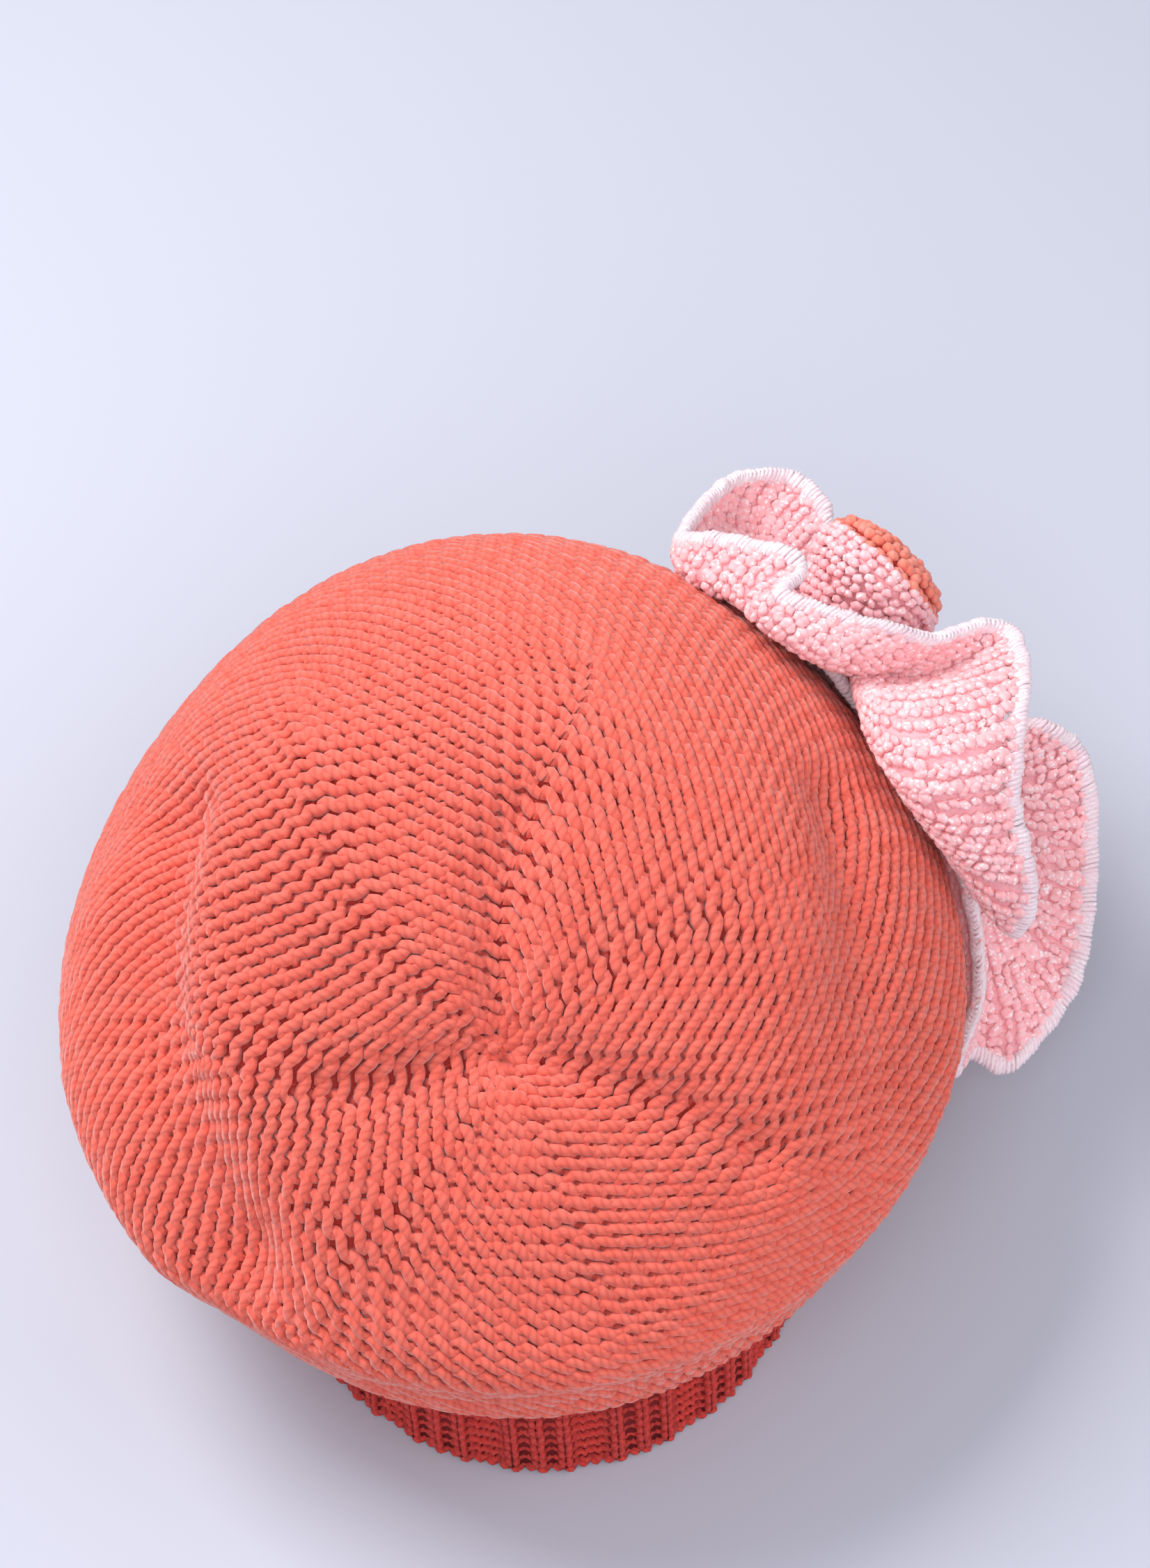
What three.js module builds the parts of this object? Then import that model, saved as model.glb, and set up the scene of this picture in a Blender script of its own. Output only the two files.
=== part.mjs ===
// Slouch beanie: a wide knitted bag that hangs over a ribbed band, with a ruffled
// crochet flower sewn to its right side.
//
// Frame: millimetres, +Z up. The origin is the middle of the hat's overall box on Z = 0,
// where the band's lower rim rests. The wearer faces -Y. The flower sits on the -X side,
// towards the front. The tables below measure from the centre of the band's lower rim,
// which BAND_CENTRE places.
import * as THREE from 'three';

// ---------------------------------------------------------------- driving sizes (mm)
const BAND_CENTRE = new THREE.Vector3(19.3, 30.9, 0);
const KNIT_WALL = 3.5;
const PIECE_GAP = 0.4;
const NORMAL_STEP = 0.02;
const FRILL_NORMAL_STEP = 0.004;

// The ribbed band is an upright ring on an oval. Each rib repeat is a raised group of
// knit columns beside a sunken group of purl columns.
const BAND = {
  halfWide: 78,
  halfDeep: 92,
  height: 38,
  wall: 3.6,
  repeats: 18,
  ribRise: 1.2,
  segmentsPerRepeat: 4,
};

// The bag is lofted through tilted oval rings, from the crown centre out over the
// widest edge and back under to the band. tilt lifts the front of a ring, in degrees.
const BAG_RINGS = [
  { name: 'crown centre', x: 9, y: 36, z: 128, halfWide: 0, halfDeep: 0, tilt: 34 },
  { name: 'first rounds', x: 9, y: 36, z: 128, halfWide: 14, halfDeep: 14, tilt: 34 },
  { name: 'inner crown', x: 9, y: 36, z: 128.5, halfWide: 32, halfDeep: 31, tilt: 34 },
  { name: 'middle crown', x: 9, y: 32, z: 128, halfWide: 54, halfDeep: 53, tilt: 32 },
  { name: 'outer crown', x: 8, y: 22, z: 127, halfWide: 75, halfDeep: 76, tilt: 29 },
  { name: 'shoulder', x: 6, y: 3, z: 120, halfWide: 92, halfDeep: 106, tilt: 22 },
  { name: 'upper side', x: 3, y: -14, z: 103, halfWide: 108, halfDeep: 124, tilt: 14 },
  { name: 'widest edge', x: 3, y: -22, z: 79, halfWide: 124, halfDeep: 128, tilt: 5 },
  { name: 'lower side', x: 3, y: -19, z: 58, halfWide: 118, halfDeep: 120, tilt: 0 },
  { name: 'underside', x: 2, y: -7, z: 46, halfWide: 102, halfDeep: 107, tilt: 0 },
  { name: 'band seam', x: 0, y: 0, z: 38, halfWide: 78, halfDeep: 92, tilt: 0 },
];
const BAG_ROUND = 56;
const BAG_STEPS_PER_RING = 2;

// Folds push the bag in (depth > 0) or out (depth < 0) along a path, fading to nothing
// over about two widths on either side.
const BAG_FOLDS = [
  { name: 'left shoulder', width: 20, depth: -4, path: [[76, -30, 142], [79, 10, 126], [64, 62, 100]] },
  { name: 'left valley', width: 16, depth: 12, path: [[90, -40, 134], [95, 6, 112], [80, 62, 88]] },
  { name: 'left lobe', width: 20, depth: -6, path: [[112, -30, 106], [117, 5, 92], [98, 54, 80]] },
  { name: 'right crease', width: 9, depth: 5, path: [[-86, -36, 128], [-89, -9, 119], [-84, 14, 108]] },
  { name: 'right lobe', width: 18, depth: -3, path: [[-104, -30, 104], [-104, 10, 92]] },
  { name: 'front crown line', width: 9, depth: 4, path: [[8, 30, 131], [4, -3, 152], [-3, -18, 157]] },
  { name: 'right crown line', width: 9, depth: 4, path: [[2, 38, 126], [-41, 53, 114], [-56, 60, 104]] },
  { name: 'left crown line', width: 8, depth: 3, path: [[14, 38, 127], [37, 42, 124], [53, 42, 122]] },
  { name: 'left front line', width: 8, depth: 2, path: [[20, 24, 134], [34, 6, 144]] },
  { name: 'left front ridge', width: 14, depth: -2.5, path: [[50, -40, 157], [56, -58, 156]] },
];

// The flower has its own frame on the bag: X (side) points to the crown, Y (down) to the
// lower edge of the bag, and Z (out) away from the bag.
const FLOWER_SEAT = new THREE.Vector3(-92.7, -94.4, 101.3);
const FLOWER_SIDE = new THREE.Vector3(0, 0.5592, 0.829);
const FLOWER_OUT = new THREE.Vector3(-0.9063, -0.3503, 0.2364);
const FLOWER_HUB = { side: -5, down: -12, lean: 16 };

// A frill is a crochet ring that starts flat at its hub and waves up and down at its rim.
// Each row is a crest, a hollow or a turn of the rim: turn is the hub angle in degrees,
// from the upper end of the flower by way of the crown side. side, down and out place the
// rim, and the belly columns place the swell of the wave below it.
const FRILL_ROUND = 72;
const FRILL_STEPS = 5;
const FRILL_WALL = 2.4;
const EDGING_WIDTH = 5;
const EDGING_GAP = 1.5;
const EDGING_WALL = 3;
const FRILL_COLUMNS = ['turn', 'side', 'down', 'out', 'bellySide', 'bellyDown', 'bellyOut'];
const UPPER_FRILL = {
  hubRadius: 7,
  hubHeight: 9,
  spread: 24,
  rim: namedRows(FRILL_COLUMNS, [
    [8, 5, -58, -14, 0, -47, -30],
    [22, 20, -51, -7, 22, -42, -38],
    [38, 27, -37, 7, 32, -32, -34],
    [50, 29, -30, 7, 36, -28, -32],
    [68, 38, -26, 0, 42, -24, -28],
    [88, 36, -5, 20, 42, -10, -26],
    [98, 30, 4, 30, 32, 0, -18],
    [108, 22, 7, 45, 17, 13, 2],
    [118, 20, 14, 51, 26, 19, 2],
    [130, 34, 27, 45, 60, 16, -18],
    [144, 42, 41, 34, 70, 34, -28],
    [156, 40, 55, 25, 64, 46, -24],
    [166, 30, 78, 18, 44, 66, -14],
    [174, 16, 85, 9, 20, 74, 0],
    [184, 7, 60, 13, 14, 48, 10],
    [196, 2, 36, 16, 10, 28, 12],
    [214, -8, 20, 18, -2, 14, 13],
    [238, -27, 11, 16, -24, 9, 12],
    [260, -42, 0, 10, -36, 0, 6],
    [284, -46, -16, 3, -40, -14, 0],
    [302, -34, -26, 11, -30, -24, 4],
    [318, -27, -42, 27, -30, -36, -2],
    [332, -34, -59, 26, -34, -50, -8],
    [348, -24, -67, 8, -22, -54, -14],
  ]),
};
const LOWER_FRILL = {
  hubRadius: 4,
  hubHeight: 4.4,
  spread: 12,
  rim: namedRows(FRILL_COLUMNS, [
    [0, -9, -34, -9, -8, -26, -6],
    [40, 4, -30, -7, 2, -23, -5],
    [80, 11, -14, -1, 6, -13, 0],
    [112, 11, 4, 3, 6, 0, 3],
    [138, 4, 26, 6.5, -3, 18, 6.5],
    [156, 0, 58, 7.5, -8, 46, 8.5],
    [168, -1, 92, -5, -9, 80, 10],
    [175, -5, 111, -24, -11, 90, 14],
    [181, -11, 110, -17, -14, 90, 12],
    [187, -13, 119, -8, -15, 98, 12],
    [196, -17, 106, 22, -17, 92, 11],
    [204, -20, 73, 47, -18, 70, 10],
    [213, -17, 51, 55, -15, 54, 8],
    [224, -13, 36, 45, -13, 42, 4],
    [240, -36, 32, 20, -34, 32, 4],
    [256, -58, 30, 4, -52, 26, -10],
    [272, -62, 4, -6, -54, 4, -14],
    [292, -58, -20, -14, -50, -18, -16],
    [318, -44, -36, -13, -36, -32, -14],
    [340, -26, -38, -11, -22, -32, -8],
  ]),
};

// The bud is made of pink rounds and stands on the flower's leaning axis. The coral
// heart is a shallow dome that caps it.
const BUD_ROUND = 24;
const BUD_PROFILE = namedRows(['radius', 'height'], [
  [0, 11], [11, 11], [14, 15], [17.5, 21], [21, 27], [20, 30], [18, 31.4], [0, 32],
]);
const HEART_PROFILE = namedRows(['radius', 'height'], [
  [0, 32.6], [18.2, 32], [18.4, 33.6], [14.5, 36.6], [8, 38.4], [0, 39],
]);

const COLOURS = { coral: 0xe8685c, bandCoral: 0xc24a48, pink: 0xf6bfca, white: 0xf3ecee };

// ---------------------------------------------------------------- curves and surfaces
const radians = THREE.MathUtils.degToRad;

/** Turns rows of numbers into records with named columns. */
function namedRows(columns, rows) {
  return rows.map((row) => Object.fromEntries(columns.map((column, index) => [column, row[index]])));
}

/** Catmull-Rom value through a list of numbers at a fractional position. */
function through(values, position, closed = false) {
  const count = values.length;
  const start = closed ? Math.floor(position) : Math.min(Math.floor(position), count - 2);
  const part = position - start;
  const pick = (offset) => {
    const index = start + offset;
    return closed ? values[((index % count) + count) % count] : values[Math.min(Math.max(index, 0), count - 1)];
  };
  const [before, from, to, after] = [pick(-1), pick(0), pick(1), pick(2)];
  const bend = 2 * before - 5 * from + 4 * to - after;
  const twist = 3 * from - before - 3 * to + after;
  return 0.5 * (2 * from + (to - before) * part + bend * part ** 2 + twist * part ** 3);
}

/** Distance from a point to a path of straight pieces. */
function distanceToPath(point, path) {
  const corners = path.map((corner) => new THREE.Vector3(...corner));
  const nearest = new THREE.Vector3();
  const distances = corners.slice(1).map((end, index) => {
    new THREE.Line3(corners[index], end).closestPointToPoint(point, true, nearest);
    return nearest.distanceTo(point);
  });
  return Math.min(...distances);
}

/** Unit normal of a surface function, by central differences: its second direction across its first. */
function surfaceNormal(surface, first, second, step) {
  const acrossFirst = surface(first + step, second).sub(surface(first - step, second));
  const acrossSecond = surface(first, second + step).sub(surface(first, second - step));
  return acrossSecond.cross(acrossFirst).normalize();
}

/**
 * Closed solid through a chain of rings of points. A ring of one point is a pole. A chain
 * that doesn't start at a pole closes on its own first ring.
 */
function ringSolid(rings) {
  const positions = rings.flat().flatMap((point) => point.toArray());
  const starts = rings.map((ring, index) => rings.slice(0, index).reduce((sum, one) => sum + one.length, 0));
  const indices = [];
  const joinRings = (from, to) => {
    const corner = (ring, i) => starts[ring] + (i % rings[ring].length);
    const count = Math.max(rings[from].length, rings[to].length);
    for (let i = 0; i < count; i += 1) {
      if (rings[from].length > 1) indices.push(corner(from, i), corner(from, i + 1), corner(to, i + 1));
      if (rings[to].length > 1) indices.push(corner(from, i), corner(to, i + 1), corner(to, i));
    }
  };
  for (let k = 1; k < rings.length; k += 1) joinRings(k - 1, k);
  if (rings[0].length > 1) joinRings(rings.length - 1, 0);
  const geometry = new THREE.BufferGeometry();
  geometry.setAttribute('position', new THREE.Float32BufferAttribute(positions, 3));
  geometry.setIndex(indices);
  return facedOutwards(geometry);
}

/** Turns a closed geometry's triangles round when they face inwards. */
function facedOutwards(geometry) {
  const position = geometry.getAttribute('position');
  const index = Array.from(geometry.index.array);
  const corner = (k) => new THREE.Vector3().fromBufferAttribute(position, index[k]);
  let volume = 0;
  for (let k = 0; k < index.length; k += 3) volume += corner(k).dot(corner(k + 1).cross(corner(k + 2)));
  if (volume < 0) {
    for (let k = 0; k < index.length; k += 3) [index[k + 1], index[k + 2]] = [index[k + 2], index[k + 1]];
    geometry.setIndex(index);
  }
  geometry.computeVertexNormals();
  return geometry;
}

function mesh(name, geometry, color, roughness) {
  const piece = new THREE.Mesh(geometry, new THREE.MeshStandardMaterial({ color, roughness, metalness: 0 }));
  piece.name = name;
  return piece;
}

// ---------------------------------------------------------------- the bag
/** Smooth bag surface, before its folds. angle 0 points to -X and a quarter turn to -Y. */
function bagLoft(angle, station) {
  const at = (column) => through(BAG_RINGS.map((ring) => ring[column]), station);
  const across = at('halfWide') * Math.cos(angle);
  const forward = at('halfDeep') * Math.sin(angle);
  const tilt = radians(at('tilt'));
  return new THREE.Vector3(at('x') - across, at('y') - forward * Math.cos(tilt), at('z') + forward * Math.sin(tilt));
}

/** Bag surface with its folds pressed in. */
function bagSurface(angle, station) {
  const point = bagLoft(angle, station);
  const push = BAG_FOLDS.reduce((sum, fold) => {
    const away = distanceToPath(point, fold.path) / fold.width;
    return sum - fold.depth * Math.exp(-away * away);
  }, 0);
  return point.addScaledVector(surfaceNormal(bagLoft, angle, station, NORMAL_STEP), push);
}

/** Outer and inner points of the bag wall. The last ring is level, so that it meets the band. */
function bagWallPoints(angle, station, atSeam) {
  if (atSeam) {
    const outer = bagLoft(angle, station);
    const inwards = new THREE.Vector3(Math.cos(angle), Math.sin(angle), 0);
    return [outer, outer.clone().addScaledVector(inwards, KNIT_WALL)];
  }
  const outer = bagSurface(angle, station);
  const outwards = surfaceNormal(bagSurface, angle, station, NORMAL_STEP);
  return [outer, outer.clone().addScaledVector(outwards, -KNIT_WALL)];
}

function makeBag() {
  const steps = (BAG_RINGS.length - 1) * BAG_STEPS_PER_RING;
  const crown = bagLoft(0, 0);
  const crownTilt = radians(BAG_RINGS[0].tilt);
  const crownDepth = new THREE.Vector3(0, -Math.sin(crownTilt), -Math.cos(crownTilt)).multiplyScalar(KNIT_WALL);
  const outer = [[crown]];
  const inner = [[crown.clone().add(crownDepth)]];
  for (let j = 1; j <= steps; j += 1) {
    const walls = Array.from({ length: BAG_ROUND }, (unused, i) => (
      bagWallPoints((i / BAG_ROUND) * Math.PI * 2, j / BAG_STEPS_PER_RING, j === steps)
    ));
    outer.push(walls.map(([outerPoint]) => outerPoint));
    inner.push(walls.map(([, innerPoint]) => innerPoint));
  }
  return mesh('slouch_bag', ringSolid([...outer, ...inner.reverse()]), COLOURS.coral, 0.95);
}

// ---------------------------------------------------------------- the band
function makeBand() {
  const count = BAND.repeats * BAND.segmentsPerRepeat;
  const top = BAND.height - PIECE_GAP;
  const ringAt = (inset, z, ribbed) => Array.from({ length: count }, (unused, i) => {
    const angle = (i / count) * Math.PI * 2;
    const onRib = i % BAND.segmentsPerRepeat < BAND.segmentsPerRepeat / 2;
    const grow = ribbed && onRib ? BAND.ribRise : 0;
    const across = (BAND.halfWide - inset + grow) * Math.cos(angle);
    const forward = (BAND.halfDeep - inset + grow) * Math.sin(angle);
    return new THREE.Vector3(-across, -forward, z);
  });
  const outer = [ringAt(0, 0, true), ringAt(0, top, true)];
  const inner = [ringAt(BAND.wall, 0, false), ringAt(BAND.wall, top, false)];
  return mesh('rib_band', ringSolid([...outer, ...inner.reverse()]), COLOURS.bandCoral, 0.95);
}

// ---------------------------------------------------------------- the flower
/** Point at a height on the bud's leaning axis, moved out by a radius at a turn. */
function onFlowerAxis(radius, turn, height) {
  const lean = radians(FLOWER_HUB.lean);
  const axisDown = FLOWER_HUB.down - height * Math.sin(lean);
  const towardsLower = -radius * Math.cos(turn);
  return new THREE.Vector3(
    FLOWER_HUB.side + radius * Math.sin(turn),
    axisDown + towardsLower * Math.cos(lean),
    height * Math.cos(lean) + towardsLower * Math.sin(lean),
  );
}

/** Line of a frill's middle surface from its hub to its rim, at a share of the way round. */
function frillRay(frill, round) {
  const count = frill.rim.length;
  const position = ((round % 1) + 1) % 1 * count;
  const at = (column) => through(frill.rim.map((row) => row[column]), position, true);
  const turns = frill.rim.map((row) => row.turn);
  const whole = Math.floor(position) % count;
  const nextTurn = whole + 1 < count ? turns[whole + 1] : turns[0] + 360;
  const turn = radians(turns[whole] + (nextTurn - turns[whole]) * (position - Math.floor(position)));
  const hub = onFlowerAxis(frill.hubRadius, turn, frill.hubHeight);
  const spread = onFlowerAxis(frill.spread, turn, frill.hubHeight);
  const belly = new THREE.Vector3(at('bellySide'), at('bellyDown'), at('bellyOut'));
  const rim = new THREE.Vector3(at('side'), at('down'), at('out'));
  return new THREE.CubicBezierCurve3(hub, spread, belly, rim);
}

/** Place along a ray, from 0 at the hub to 1 at the rim, that lies a distance inside the rim. */
function insideRim(ray, distance) {
  return 1 - distance / (3 * ray.v3.distanceTo(ray.v2));
}

/** Wall of a frill between two distances inside its rim. A start of null is the hub. */
function frillWall(frill, start, end, steps, wall) {
  const surface = (round, share) => {
    const ray = frillRay(frill, round);
    const from = start === null ? 0 : insideRim(ray, start);
    return ray.getPoint(from + (insideRim(ray, end) - from) * share);
  };
  const top = [];
  const under = [];
  for (let j = 0; j <= steps; j += 1) {
    const topRing = [];
    const underRing = [];
    for (let i = 0; i < FRILL_ROUND; i += 1) {
      const point = surface(i / FRILL_ROUND, j / steps);
      const normal = surfaceNormal(surface, i / FRILL_ROUND, j / steps, FRILL_NORMAL_STEP);
      topRing.push(point.clone().addScaledVector(normal, wall / 2));
      underRing.push(point.clone().addScaledVector(normal, -wall / 2));
    }
    top.push(topRing);
    under.push(underRing);
  }
  return ringSolid([...top, ...under.reverse()]);
}

function makeFrill(name, frill) {
  const petals = frillWall(frill, null, EDGING_WIDTH + EDGING_GAP, FRILL_STEPS, FRILL_WALL);
  const edging = frillWall(frill, EDGING_WIDTH, 0, 1, EDGING_WALL);
  return [
    mesh(`flower_frill_${name}`, petals, COLOURS.pink, 0.8),
    mesh(`flower_edging_${name}`, edging, COLOURS.white, 0.8),
  ];
}

/** Round solid on the flower's leaning axis, from a profile that starts and ends on the axis. */
function turnedOnAxis(profile) {
  const rings = profile.map(({ radius, height }) => {
    const count = radius === 0 ? 1 : BUD_ROUND;
    return Array.from({ length: count }, (unused, i) => onFlowerAxis(radius, (i / count) * Math.PI * 2, height));
  });
  return ringSolid(rings);
}

const flower = new THREE.Group();
flower.position.copy(FLOWER_SEAT);
const down = new THREE.Vector3().crossVectors(FLOWER_OUT, FLOWER_SIDE);
flower.quaternion.setFromRotationMatrix(new THREE.Matrix4().makeBasis(FLOWER_SIDE, down, FLOWER_OUT));
flower.add(...makeFrill('lower', LOWER_FRILL), ...makeFrill('upper', UPPER_FRILL));
flower.add(mesh('flower_bud', turnedOnAxis(BUD_PROFILE), COLOURS.pink, 0.8));
flower.add(mesh('flower_heart', turnedOnAxis(HEART_PROFILE), COLOURS.coral, 0.9));

const beanie = new THREE.Group();
beanie.position.copy(BAND_CENTRE);
beanie.add(makeBag(), makeBand(), flower);

export default beanie;
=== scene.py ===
"""A slouch beanie: a purl-side-out knitted bag on a ribbed band, with a crochet flower.

All lengths are metres in the part's own frame. Tables are in millimetres, measured from
the centre of the band's lower rim, and BeanieFrame turns them into the part's frame.
"""
import logging
import math
from dataclasses import dataclass, field
from enum import Enum
from typing import Iterable, Mapping, NamedTuple, Optional, Sequence, Union

import bpy
import numpy as np
from mathutils import Matrix, Vector


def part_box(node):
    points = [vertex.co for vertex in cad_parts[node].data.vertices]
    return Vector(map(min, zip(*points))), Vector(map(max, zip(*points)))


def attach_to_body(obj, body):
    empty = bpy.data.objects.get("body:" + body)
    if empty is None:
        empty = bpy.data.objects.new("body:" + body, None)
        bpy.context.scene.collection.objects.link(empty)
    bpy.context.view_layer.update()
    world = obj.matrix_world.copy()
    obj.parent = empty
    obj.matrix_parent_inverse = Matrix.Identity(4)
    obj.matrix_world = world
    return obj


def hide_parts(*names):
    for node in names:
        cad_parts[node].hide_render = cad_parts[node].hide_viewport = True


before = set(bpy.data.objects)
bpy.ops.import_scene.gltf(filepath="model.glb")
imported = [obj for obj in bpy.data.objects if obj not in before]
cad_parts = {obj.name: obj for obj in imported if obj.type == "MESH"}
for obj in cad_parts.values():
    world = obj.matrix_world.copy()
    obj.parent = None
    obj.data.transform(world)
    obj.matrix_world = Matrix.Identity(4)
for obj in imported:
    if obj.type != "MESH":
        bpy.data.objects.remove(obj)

logging.basicConfig(level=logging.INFO, format="%(message)s")
log = logging.getLogger("beanie")

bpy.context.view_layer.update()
MM = 0.001
BODY = "root"

Array = np.ndarray
Colour = tuple[float, float, float]
Triple = tuple[float, float, float]


# ---------------------------------------------------------------------------- node graphs
class Wire:
    """A node socket that takes part in arithmetic. Each expression adds its own nodes."""

    def __init__(self, graph: "Graph", socket: bpy.types.NodeSocket) -> None:
        """Wraps an output socket.

        Args:
            graph: Graph that the socket's node belongs to.
            socket: Output socket to read.
        """
        self.graph = graph
        self.socket = socket

    @property
    def is_vector(self) -> bool:
        """True for a vector or a colour."""
        return self.socket.type in {"VECTOR", "RGBA"}

    def __add__(self, other: "Value") -> "Wire":
        """Returns the sum."""
        return self.graph.combine("ADD", self, other)

    def __radd__(self, other: "Value") -> "Wire":
        """Returns the sum."""
        return self.graph.combine("ADD", self, other)

    def __sub__(self, other: "Value") -> "Wire":
        """Returns the difference."""
        return self.graph.combine("SUBTRACT", self, other)

    def __rsub__(self, other: "Value") -> "Wire":
        """Returns the other value less this one."""
        return self.graph.combine("SUBTRACT", other, self)

    def __mul__(self, other: "Value") -> "Wire":
        """Returns the product. A vector times a number is scaled."""
        return self.graph.combine("MULTIPLY", self, other)

    def __rmul__(self, other: "Value") -> "Wire":
        """Returns the product. A vector times a number is scaled."""
        return self.graph.combine("MULTIPLY", self, other)

    def cosine(self) -> "Wire":
        """Returns the cosine of an angle in radians."""
        return self.graph.combine("COSINE", self, 0.0)

    def sine(self) -> "Wire":
        """Returns the sine of an angle in radians."""
        return self.graph.combine("SINE", self, 0.0)

    def power(self, exponent: float) -> "Wire":
        """Returns this value to a power."""
        return self.graph.combine("POWER", self, exponent)

    def part(self, axis: int) -> "Wire":
        """Returns one number of a vector.

        Args:
            axis: 0, 1 or 2.

        Returns:
            The number along that axis.
        """
        return self.graph.wire("ShaderNodeSeparateXYZ", "XYZ"[axis], sockets={"Vector": self})


Value = Union[Wire, float]


class Graph:
    """Adds nodes to a shader tree or a Geometry Nodes tree."""

    def __init__(self, tree: bpy.types.NodeTree) -> None:
        """Keeps the tree.

        Args:
            tree: Tree that gets the nodes.
        """
        self.tree = tree

    def node(
        self,
        kind: str,
        settings: Optional[Mapping[str, object]] = None,
        sockets: Optional[Mapping[str, object]] = None,
    ) -> bpy.types.Node:
        """Adds one node, sets it up and feeds its sockets.

        Args:
            kind: Node type.
            settings: Values of the node's own settings, which are set first. The
                setting stops takes a ramp's (place, colour) pairs.
            sockets: Values or wires by the socket's identifier or name.

        Returns:
            The new node.
        """
        made = self.tree.nodes.new(kind)
        for name, value in (settings or {}).items():
            if name == "stops":
                self._set_stops(made, value)
            else:
                setattr(made, name, value)
        for name, value in (sockets or {}).items():
            self._feed(self._input(made, name), value)
        return made

    def wire(
        self,
        kind: str,
        output: str,
        settings: Optional[Mapping[str, object]] = None,
        sockets: Optional[Mapping[str, object]] = None,
    ) -> Wire:
        """Adds one node and returns one of its outputs.

        Args:
            kind: Node type.
            output: Output's identifier or name.
            settings: As for node.
            sockets: As for node.

        Returns:
            The output as a wire.
        """
        made = self.node(kind, settings, sockets)
        found = [one for one in made.outputs if one.enabled and output in (one.identifier, one.name)]
        return Wire(self, found[0])

    def combine(self, operation: str, first: Value, second: Value) -> Wire:
        """Adds the Math or Vector Math node of an operation on one or two values.

        Args:
            operation: Name of the operation.
            first: First value.
            second: Second value.

        Returns:
            The result.
        """
        vectors = [isinstance(one, Wire) and one.is_vector for one in (first, second)]
        if not any(vectors):
            sockets = {"Value": first, "Value_001": second}
            return self.wire("ShaderNodeMath", "Value", {"operation": operation}, sockets)
        if operation == "MULTIPLY" and not all(vectors):
            vector, number = (first, second) if vectors[0] else (second, first)
            sockets = {"Vector": vector, "Scale": number}
            return self.wire("ShaderNodeVectorMath", "Vector", {"operation": "SCALE"}, sockets)
        sockets = {"Vector": first, "Vector_001": second}
        return self.wire("ShaderNodeVectorMath", "Vector", {"operation": operation}, sockets)

    def blend(self, share: Value, first: Union[Wire, Colour], second: Union[Wire, Colour]) -> Wire:
        """Mixes two colours.

        Args:
            share: 0 for the first colour and 1 for the second.
            first: First colour.
            second: Second colour.

        Returns:
            The mixed colour.
        """
        sockets = {"Factor_Float": share, "A_Color": _rgba(first), "B_Color": _rgba(second)}
        settings = {"data_type": "RGBA", "blend_type": "MIX"}
        return self.wire("ShaderNodeMix", "Result_Color", settings, sockets)

    @staticmethod
    def _set_stops(ramp: bpy.types.Node, stops: Sequence[tuple[float, float]]) -> None:
        """Sets the stops of a grey colour ramp.

        Args:
            ramp: Colour ramp node.
            stops: Place and grey value of each stop, in order.
        """
        elements = ramp.color_ramp.elements
        while len(elements) < len(stops):
            elements.new(1.0)
        for element, (place, grey) in zip(elements, stops):
            element.position = place
            element.color = (grey, grey, grey, 1.0)

    @staticmethod
    def _input(made: bpy.types.Node, name: str) -> bpy.types.NodeSocket:
        """Finds an input socket.

        Args:
            made: Node to look in.
            name: Identifier of the socket, or else its name.

        Returns:
            The socket.
        """
        by_identifier = [one for one in made.inputs if one.identifier == name]
        by_name = [one for one in made.inputs if one.name == name and one.enabled]
        return (by_identifier or by_name)[0]

    def _feed(self, socket: bpy.types.NodeSocket, value: object) -> None:
        """Links or sets a socket.

        Args:
            socket: Input socket.
            value: A wire to link to it, or the value that it gets.
        """
        if isinstance(value, Wire):
            self.tree.links.new(value.socket, socket)
        else:
            socket.default_value = value


def _rgba(colour: Union[Wire, Colour]) -> Union[Wire, tuple[float, float, float, float]]:
    """Returns a colour with its fourth number, or the wire as it is."""
    return colour if isinstance(colour, Wire) else (*colour, 1.0)


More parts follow.
